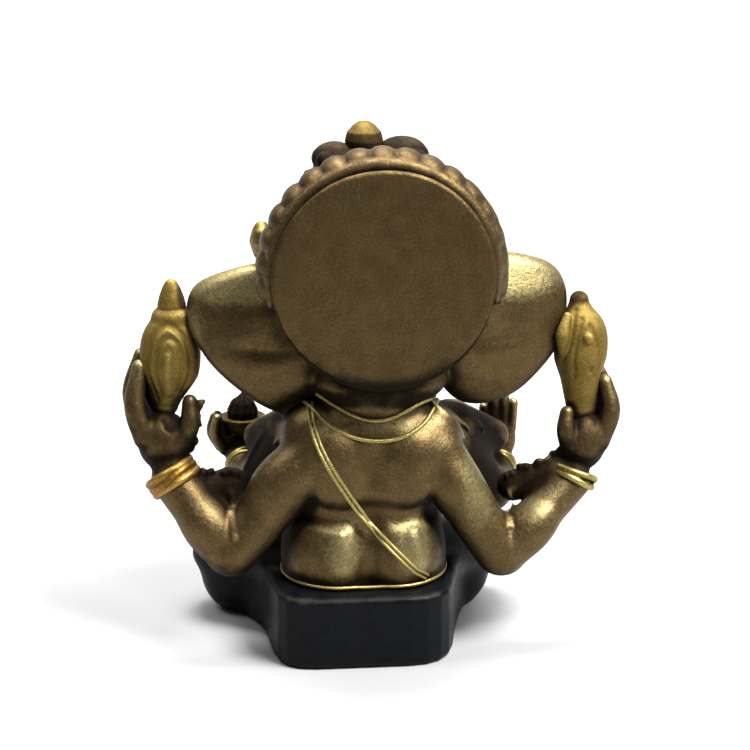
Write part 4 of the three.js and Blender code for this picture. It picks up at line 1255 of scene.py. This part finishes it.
for i in range(PLATE_TURNS):
    here, after = 1 + i * ROUND, 1 + ((i + 1) % PLATE_TURNS) * ROUND
    plate_faces.append([0, after, here])
    for j in range(ROUND - 1):
        plate_faces.append([here + j, after + j, after + j + 1, here + j + 1])
    plate_faces.append([here + ROUND - 1, after + ROUND - 1, len(plate_points) - 1])
plate_mesh = bpy.data.meshes.new("halo_disc_cast")
plate_mesh.from_pydata(to_frame(plate_points).tolist(), [], plate_faces)
plate_mesh.polygons.foreach_set("use_smooth", np.ones(len(plate_mesh.polygons), dtype=bool))
plate_mesh.update()
build = bmesh.new()
build.from_mesh(plate_mesh)
bmesh.ops.recalc_face_normals(build, faces=build.faces[:])
build.to_mesh(plate_mesh)
build.free()
plate = bpy.data.objects.new("halo_disc_cast", plate_mesh)
bpy.context.scene.collection.objects.link(plate)
place = np.array([v.co for v in plate_mesh.vertices]) / MM - ZERO
facing = np.array([v.normal for v in plate_mesh.vertices])
closed, _ = measure_skin(place, facing, with_pools=False)
rim = np.hypot(place[:, 0] - PLATE_ACROSS, place[:, 2] - PLATE_HEIGHT)
height = place[:, 2]
# Painted shade: darker low down and on the lower rim, and a little darker over the whole rim to dim its
# bevel's highlight; a painted highlight on the upper rim.
low_shade = 0.30 * np.clip((50.0 - height) / 14.0, 0, 1)
low_rim_shade = 0.5 * np.clip((46.0 - height) / 9, 0, 1) * np.clip((rim - 13.0) / 0.8, 0, 1)
rim_shade = 0.16 * np.clip((rim - 13.6) / 0.3, 0, 1)
rim_highlight = 0.08 * np.clip((rim - 13.2) / 0.8, 0, 1) * np.clip((height - 53.0) / 8.0, -0.4, 1)
add_numbers(plate_mesh, closed * 0.6 + low_shade + low_rim_shade + rim_shade, rim_highlight)
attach(plate, "root")
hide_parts("halo_disc")
bronze_pieces["halo_disc"] = plate
print("plate:", len(plate_mesh.polygons), "faces")

# %% [markdown]
# ## The paints
#
# Bronze and gold paint are clear varnish full of fine mica flakes. The flakes are what give the
# grainy sparkle: each one lies at its own small angle. A very fine noise tilts the surface and
# changes its brightness from flake to flake, and a slower noise makes the coat uneven.

# %% Make the paints
def paint_nodes(name):
    """An empty material with one coat of paint, and the coordinates its patterns use."""
    material = bpy.data.materials.new(name)
    material.use_nodes = True
    tree = material.node_tree
    tree.nodes.clear()
    output = tree.nodes.new("ShaderNodeOutputMaterial")
    coat = tree.nodes.new("ShaderNodeBsdfPrincipled")
    tree.links.new(coat.outputs["BSDF"], output.inputs["Surface"])
    where = tree.nodes.new("ShaderNodeTexCoord")
    return material, tree, coat, where


def noise(tree, where, scale, detail=2.0, roughness=0.5):
    node = tree.nodes.new("ShaderNodeTexNoise")
    node.inputs["Scale"].default_value = scale
    node.inputs["Detail"].default_value = detail
    node.inputs["Roughness"].default_value = roughness
    tree.links.new(where.outputs["Object"], node.inputs["Vector"])
    return node.outputs["Fac"]


def ramp(tree, value, low, high, from_value=0.0, to_value=1.0):
    """A soft step: from_value below low, to_value above high."""
    node = tree.nodes.new("ShaderNodeMapRange")
    node.interpolation_type = "SMOOTHSTEP"
    tree.links.new(value, node.inputs["Value"])
    node.inputs["From Min"].default_value = low
    node.inputs["From Max"].default_value = high
    node.inputs["To Min"].default_value = from_value
    node.inputs["To Max"].default_value = to_value
    return node.outputs["Result"]


def maths(tree, operation, a, b):
    node = tree.nodes.new("ShaderNodeMath")
    node.operation = operation
    for socket, value in zip(node.inputs, (a, b)):
        if isinstance(value, (int, float)):
            socket.default_value = value
        else:
            tree.links.new(value, socket)
    return node.outputs[0]


def blend_colours(tree, share, a, b, mode="MIX"):
    node = tree.nodes.new("ShaderNodeMix")
    node.data_type = "RGBA"
    node.blend_type = mode
    sockets = {s.identifier: s for s in node.inputs}
    for key, value in (("Factor_Float", share), ("A_Color", a), ("B_Color", b)):
        if isinstance(value, (int, float)):
            sockets[key].default_value = value
        elif isinstance(value, tuple):
            sockets[key].default_value = (*value, 1.0)
        else:
            tree.links.new(value, sockets[key])
    return next(s for s in node.outputs if s.identifier == "Result_Color")


def sway(tree, value, amount):
    """A pattern that ran from 0 to 1, now swinging to both sides of zero."""
    return maths(tree, "MULTIPLY", maths(tree, "SUBTRACT", value, 0.5), amount)


def bump(tree, height, strength, distance, under=None):
    """Raises the surface by a pattern, on top of another bump if there is one."""
    node = tree.nodes.new("ShaderNodeBump")
    node.inputs["Strength"].default_value = strength
    node.inputs["Distance"].default_value = distance
    tree.links.new(height, node.inputs["Height"])
    if under:
        tree.links.new(under, node.inputs["Normal"])
    return node.outputs["Normal"]


def attribute(tree, key):
    node = tree.nodes.new("ShaderNodeAttribute")
    node.attribute_name = key
    return node.outputs["Fac"]


FLAKE = 7000.0  # flakes per metre, so one is about 0.14 mm
PATCH = 420.0  # patches per metre


def metallic_paint(name, deep, middle, bright, wash_and_shade_range, metal, gloss):
    """Flaked paint: its colour for wash and painted shade, its coat colour, its colour for dry brush and
    painted highlight, where wash and painted shade set in, and its gloss.
    """
    material, tree, coat, where = paint_nodes(name)
    flakes = noise(tree, where, FLAKE, 1.0)
    patches = noise(tree, where, PATCH, 4.0, 0.6)
    blotches = noise(tree, where, PATCH * 4, 3.0, 0.6)
    # Wash in the hollows and painted shade darken the coat towards the deep colour.
    wash_and_shade = maths(tree, "ADD", attribute(tree, "wash_and_shade"), sway(tree, patches, 0.35))
    dark = ramp(tree, wash_and_shade, wash_and_shade_range[0], wash_and_shade_range[1])
    # The dry brush on edges and a painted highlight on tops lighten it towards the bright colour.
    lift = maths(tree, "ADD", attribute(tree, "raised_and_highlight"), sway(tree, blotches, 0.25))
    brush_and_highlight = ramp(tree, lift, 0.06, 0.30)
    colour = blend_colours(tree, ramp(tree, patches, 0.35, 0.65), middle, tuple(0.82 * c for c in middle))
    colour = blend_colours(tree, maths(tree, "MULTIPLY", brush_and_highlight, 0.75), colour, bright)
    colour = blend_colours(tree, dark, colour, deep)
    sparkle = ramp(tree, flakes, 0.35, 0.72, 0.72, 1.35)
    grey = tree.nodes.new("ShaderNodeCombineColor")
    for socket in grey.inputs[:3]:
        tree.links.new(sparkle, socket)
    colour = blend_colours(tree, 1.0, colour, grey.outputs["Color"], "MULTIPLY")
    tree.links.new(colour, coat.inputs["Base Color"])
    coat.inputs["Metallic"].default_value = metal
    coat.inputs["Specular IOR Level"].default_value = 0.25
    rough = ramp(tree, dark, 0.0, 1.0, gloss, gloss + 0.25)
    tree.links.new(maths(tree, "ADD", rough, sway(tree, blotches, 0.25)), coat.inputs["Roughness"])
    uneven = bump(tree, blotches, 0.36, 0.22 * MM)
    tree.links.new(bump(tree, flakes, 0.35, 0.06 * MM, uneven), coat.inputs["Normal"])
    return material


bronze = metallic_paint(
    "antique_bronze_paint",
    deep=(0.016, 0.010, 0.005),
    middle=(0.118, 0.077, 0.031),
    bright=(0.31, 0.255, 0.115),
    wash_and_shade_range=(0.16, 0.62),
    metal=0.88,
    gloss=0.46,
)
gold = metallic_paint(
    "bright_gold_paint",
    deep=(0.05, 0.03, 0.010),
    middle=(0.21, 0.150, 0.038),
    bright=(0.42, 0.34, 0.12),
    wash_and_shade_range=(0.50, 1.00),
    metal=0.88,
    gloss=0.46,
)
old_gold = metallic_paint(
    "old_gold_paint",
    deep=(0.045, 0.028, 0.010),
    middle=(0.185, 0.122, 0.026),
    bright=(0.285, 0.212, 0.056),
    wash_and_shade_range=(0.42, 0.95),
    metal=0.72,
    gloss=0.62,
)
orange_gold = metallic_paint(
    "orange_gold_paint",
    deep=(0.05, 0.02, 0.005),
    middle=(0.25, 0.125, 0.022),
    bright=(0.46, 0.30, 0.08),
    wash_and_shade_range=(0.50, 1.00),
    metal=0.88,
    gloss=0.44,
)
print("paints:", bronze.name, gold.name, old_gold.name, orange_gold.name)

# %% [markdown]
# The black is a satin paint with hardly any gleam, so its shine is turned low. It isn't quite even:
# it is greyer in patches, a little bronze has rubbed onto its edges, the same bronze lies on its
# upward-facing tops as a painted highlight, and it holds some dust.

# %% Make the black satin
black, tree, coat, where = paint_nodes("satin_black_paint")
speck = noise(tree, where, 5200.0, 2.0)
patch = noise(tree, where, 380.0, 4.0, 0.6)
dust = ramp(tree, speck, 0.66, 0.78)
base = blend_colours(tree, ramp(tree, patch, 0.35, 0.7), (0.0018, 0.0022, 0.003), (0.0034, 0.004, 0.005))
# Bronze rubbed onto the edges is wear; on upward-facing tops the same bronze is a painted highlight.
rubbed_and_highlight = ramp(tree, maths(tree, "ADD", attribute(tree, "raised_and_highlight"), sway(tree, patch, 0.3)), 0.14, 0.42)
base = blend_colours(tree, maths(tree, "MULTIPLY", rubbed_and_highlight, 0.35), base, (0.085, 0.075, 0.055))
base = blend_colours(tree, maths(tree, "MULTIPLY", dust, 0.35), base, (0.05, 0.055, 0.065))
tree.links.new(base, coat.inputs["Base Color"])
tree.links.new(ramp(tree, patch, 0.3, 0.7, 0.36, 0.52), coat.inputs["Roughness"])
coat.inputs["Specular IOR Level"].default_value = 0.10
tree.links.new(bump(tree, noise(tree, where, 1500.0, 4.0, 0.65), 0.4, 0.12 * MM), coat.inputs["Normal"])

OWN_PAINT = {
    "modak": bronze,
    "rear_left_bangle": orange_gold,
    "conch": old_gold,
    "lotus_bud": old_gold,
    "crown_finial": old_gold,
}
for pieces, paint in ((bronze_pieces, bronze), (black_pieces, black), (gold_pieces, gold)):
    for node, piece in pieces.items():
        piece.data.materials.clear()
        piece.data.materials.append(OWN_PAINT.get(node, paint))
print("pieces painted:", len(bronze_pieces) + len(black_pieces) + len(gold_pieces))

# %% [markdown]
# ## Sheet, light and camera
#
# The figure stands on a plain white sheet that curves up into a wall beyond it, as in a small
# studio. The bend is a quarter circle, so no line shows where floor turns into wall.

# %% Lay the sheet
CARD_WHITE, CARD_ROUGHNESS = 0.35, 0.8
card, _, card_face, _ = paint_nodes("white_card")
card_face.inputs["Base Color"].default_value = (CARD_WHITE, CARD_WHITE, CARD_WHITE, 1.0)
card_face.inputs["Roughness"].default_value = CARD_ROUGHNESS

floor_mesh = bpy.data.meshes.new("floor")
SHEET_HALF_WIDTH = 0.7
SHEET_NEAR_EDGE = 0.13
BEND_START, BEND_RADIUS, SHEET_TOP = -0.25, 0.15, 0.6
sheet_line = [(SHEET_NEAR_EDGE, 0.0), (0.0, 0.0)]
for step in np.linspace(0, math.pi / 2, 13):
    sheet_line.append((BEND_START - BEND_RADIUS * math.sin(step), BEND_RADIUS * (1 - math.cos(step))))
sheet_line.append((BEND_START - BEND_RADIUS, SHEET_TOP))
sheet_points = [(x, y, z) for y, z in sheet_line for x in (-SHEET_HALF_WIDTH, SHEET_HALF_WIDTH)]
sheet_faces = [(2 * i + 1, 2 * i, 2 * i + 2, 2 * i + 3) for i in range(len(sheet_line) - 1)]
floor_mesh.from_pydata(sheet_points, [], sheet_faces)
floor_mesh.polygons.foreach_set("use_smooth", np.ones(len(sheet_faces), dtype=bool))
floor = bpy.data.objects.new("floor", floor_mesh)
floor.location.z = cad_low[2] - 0.02 * MM
floor_mesh.materials.append(card)
bpy.context.scene.collection.objects.link(floor)
print("sheet laid,", len(sheet_faces), "strips")

# %% [markdown]
# One broad soft light hangs above the figure's right shoulder and makes the shadow. A weaker one
# fills from the other side, and a third only whitens the wall. The room beyond is a soft grey,
# which is what the metallic paint reflects.

# %% Hang the lights
def soft_light(name, spot, aim, size, power):
    """A round lamp, in metres and watts."""
    lamp = bpy.data.lights.new(name, "AREA")
    lamp.shape = "DISK"
    lamp.size = size
    lamp.energy = power
    light = bpy.data.objects.new(name, lamp)
    light.location = spot
    light.rotation_euler = (Vector(aim) - Vector(spot)).to_track_quat("-Z", "Y").to_euler()
    bpy.context.scene.collection.objects.link(light)


soft_light("overhead", (-0.23, 0.17, 0.42), (0, 0, 0.03), 0.25, 6.7)
soft_light("left_fill", (0.26, 0.02, 0.46), (0, 0, 0.05), 0.20, 1.0)
soft_light("wall_light", (0.0, -0.15, 0.60), (0, -0.45, 0.1), 0.30, 9.0)

world = bpy.data.worlds.new("room")
world.use_nodes = True
bpy.context.scene.world = world
room = world.node_tree.nodes["Background"]
room.inputs["Color"].default_value = (1, 1, 1, 1)
room.inputs["Strength"].default_value = 0.10
print("lights hung")

# %% [markdown]
# The camera looks at the figure's back, a few degrees off square and a little from above.

# %% Set the camera
VIEW_AZIMUTH, VIEW_ELEVATION = math.radians(175), math.radians(16)
VIEW_DISTANCE = 240.0
AIM = np.array([0.0, 0.0, 36.6])
toward = np.array(
    [
        math.sin(VIEW_AZIMUTH) * math.cos(VIEW_ELEVATION),
        -math.cos(VIEW_AZIMUTH) * math.cos(VIEW_ELEVATION),
        math.sin(VIEW_ELEVATION),
    ]
)
camera_data = bpy.data.cameras.new("camera")
camera_data.sensor_fit = "HORIZONTAL"
camera_data.angle = math.radians(23.6)
camera_data.clip_start = 0.01
camera = bpy.data.objects.new("camera", camera_data)
camera.location = to_frame(AIM + toward * VIEW_DISTANCE)
camera.rotation_euler = Vector(-toward).to_track_quat("-Z", "Y").to_euler()
bpy.context.scene.collection.objects.link(camera)
bpy.context.scene.camera = camera
bpy.context.scene.view_settings.view_transform = "Standard"
print("camera at", [round(place, 3) for place in camera.location], "m")

# %% [markdown]
# ## Size
#
# Last, the CAD box is printed, to hold the finished figure against. Paint and soft clay may swell a part
# by a few tenths of a millimetre, but no more.

# %% Finish
print("CAD  box, mm:", [[round(v * 1000, 2) for v in corner] for corner in (cad_low, cad_high)])
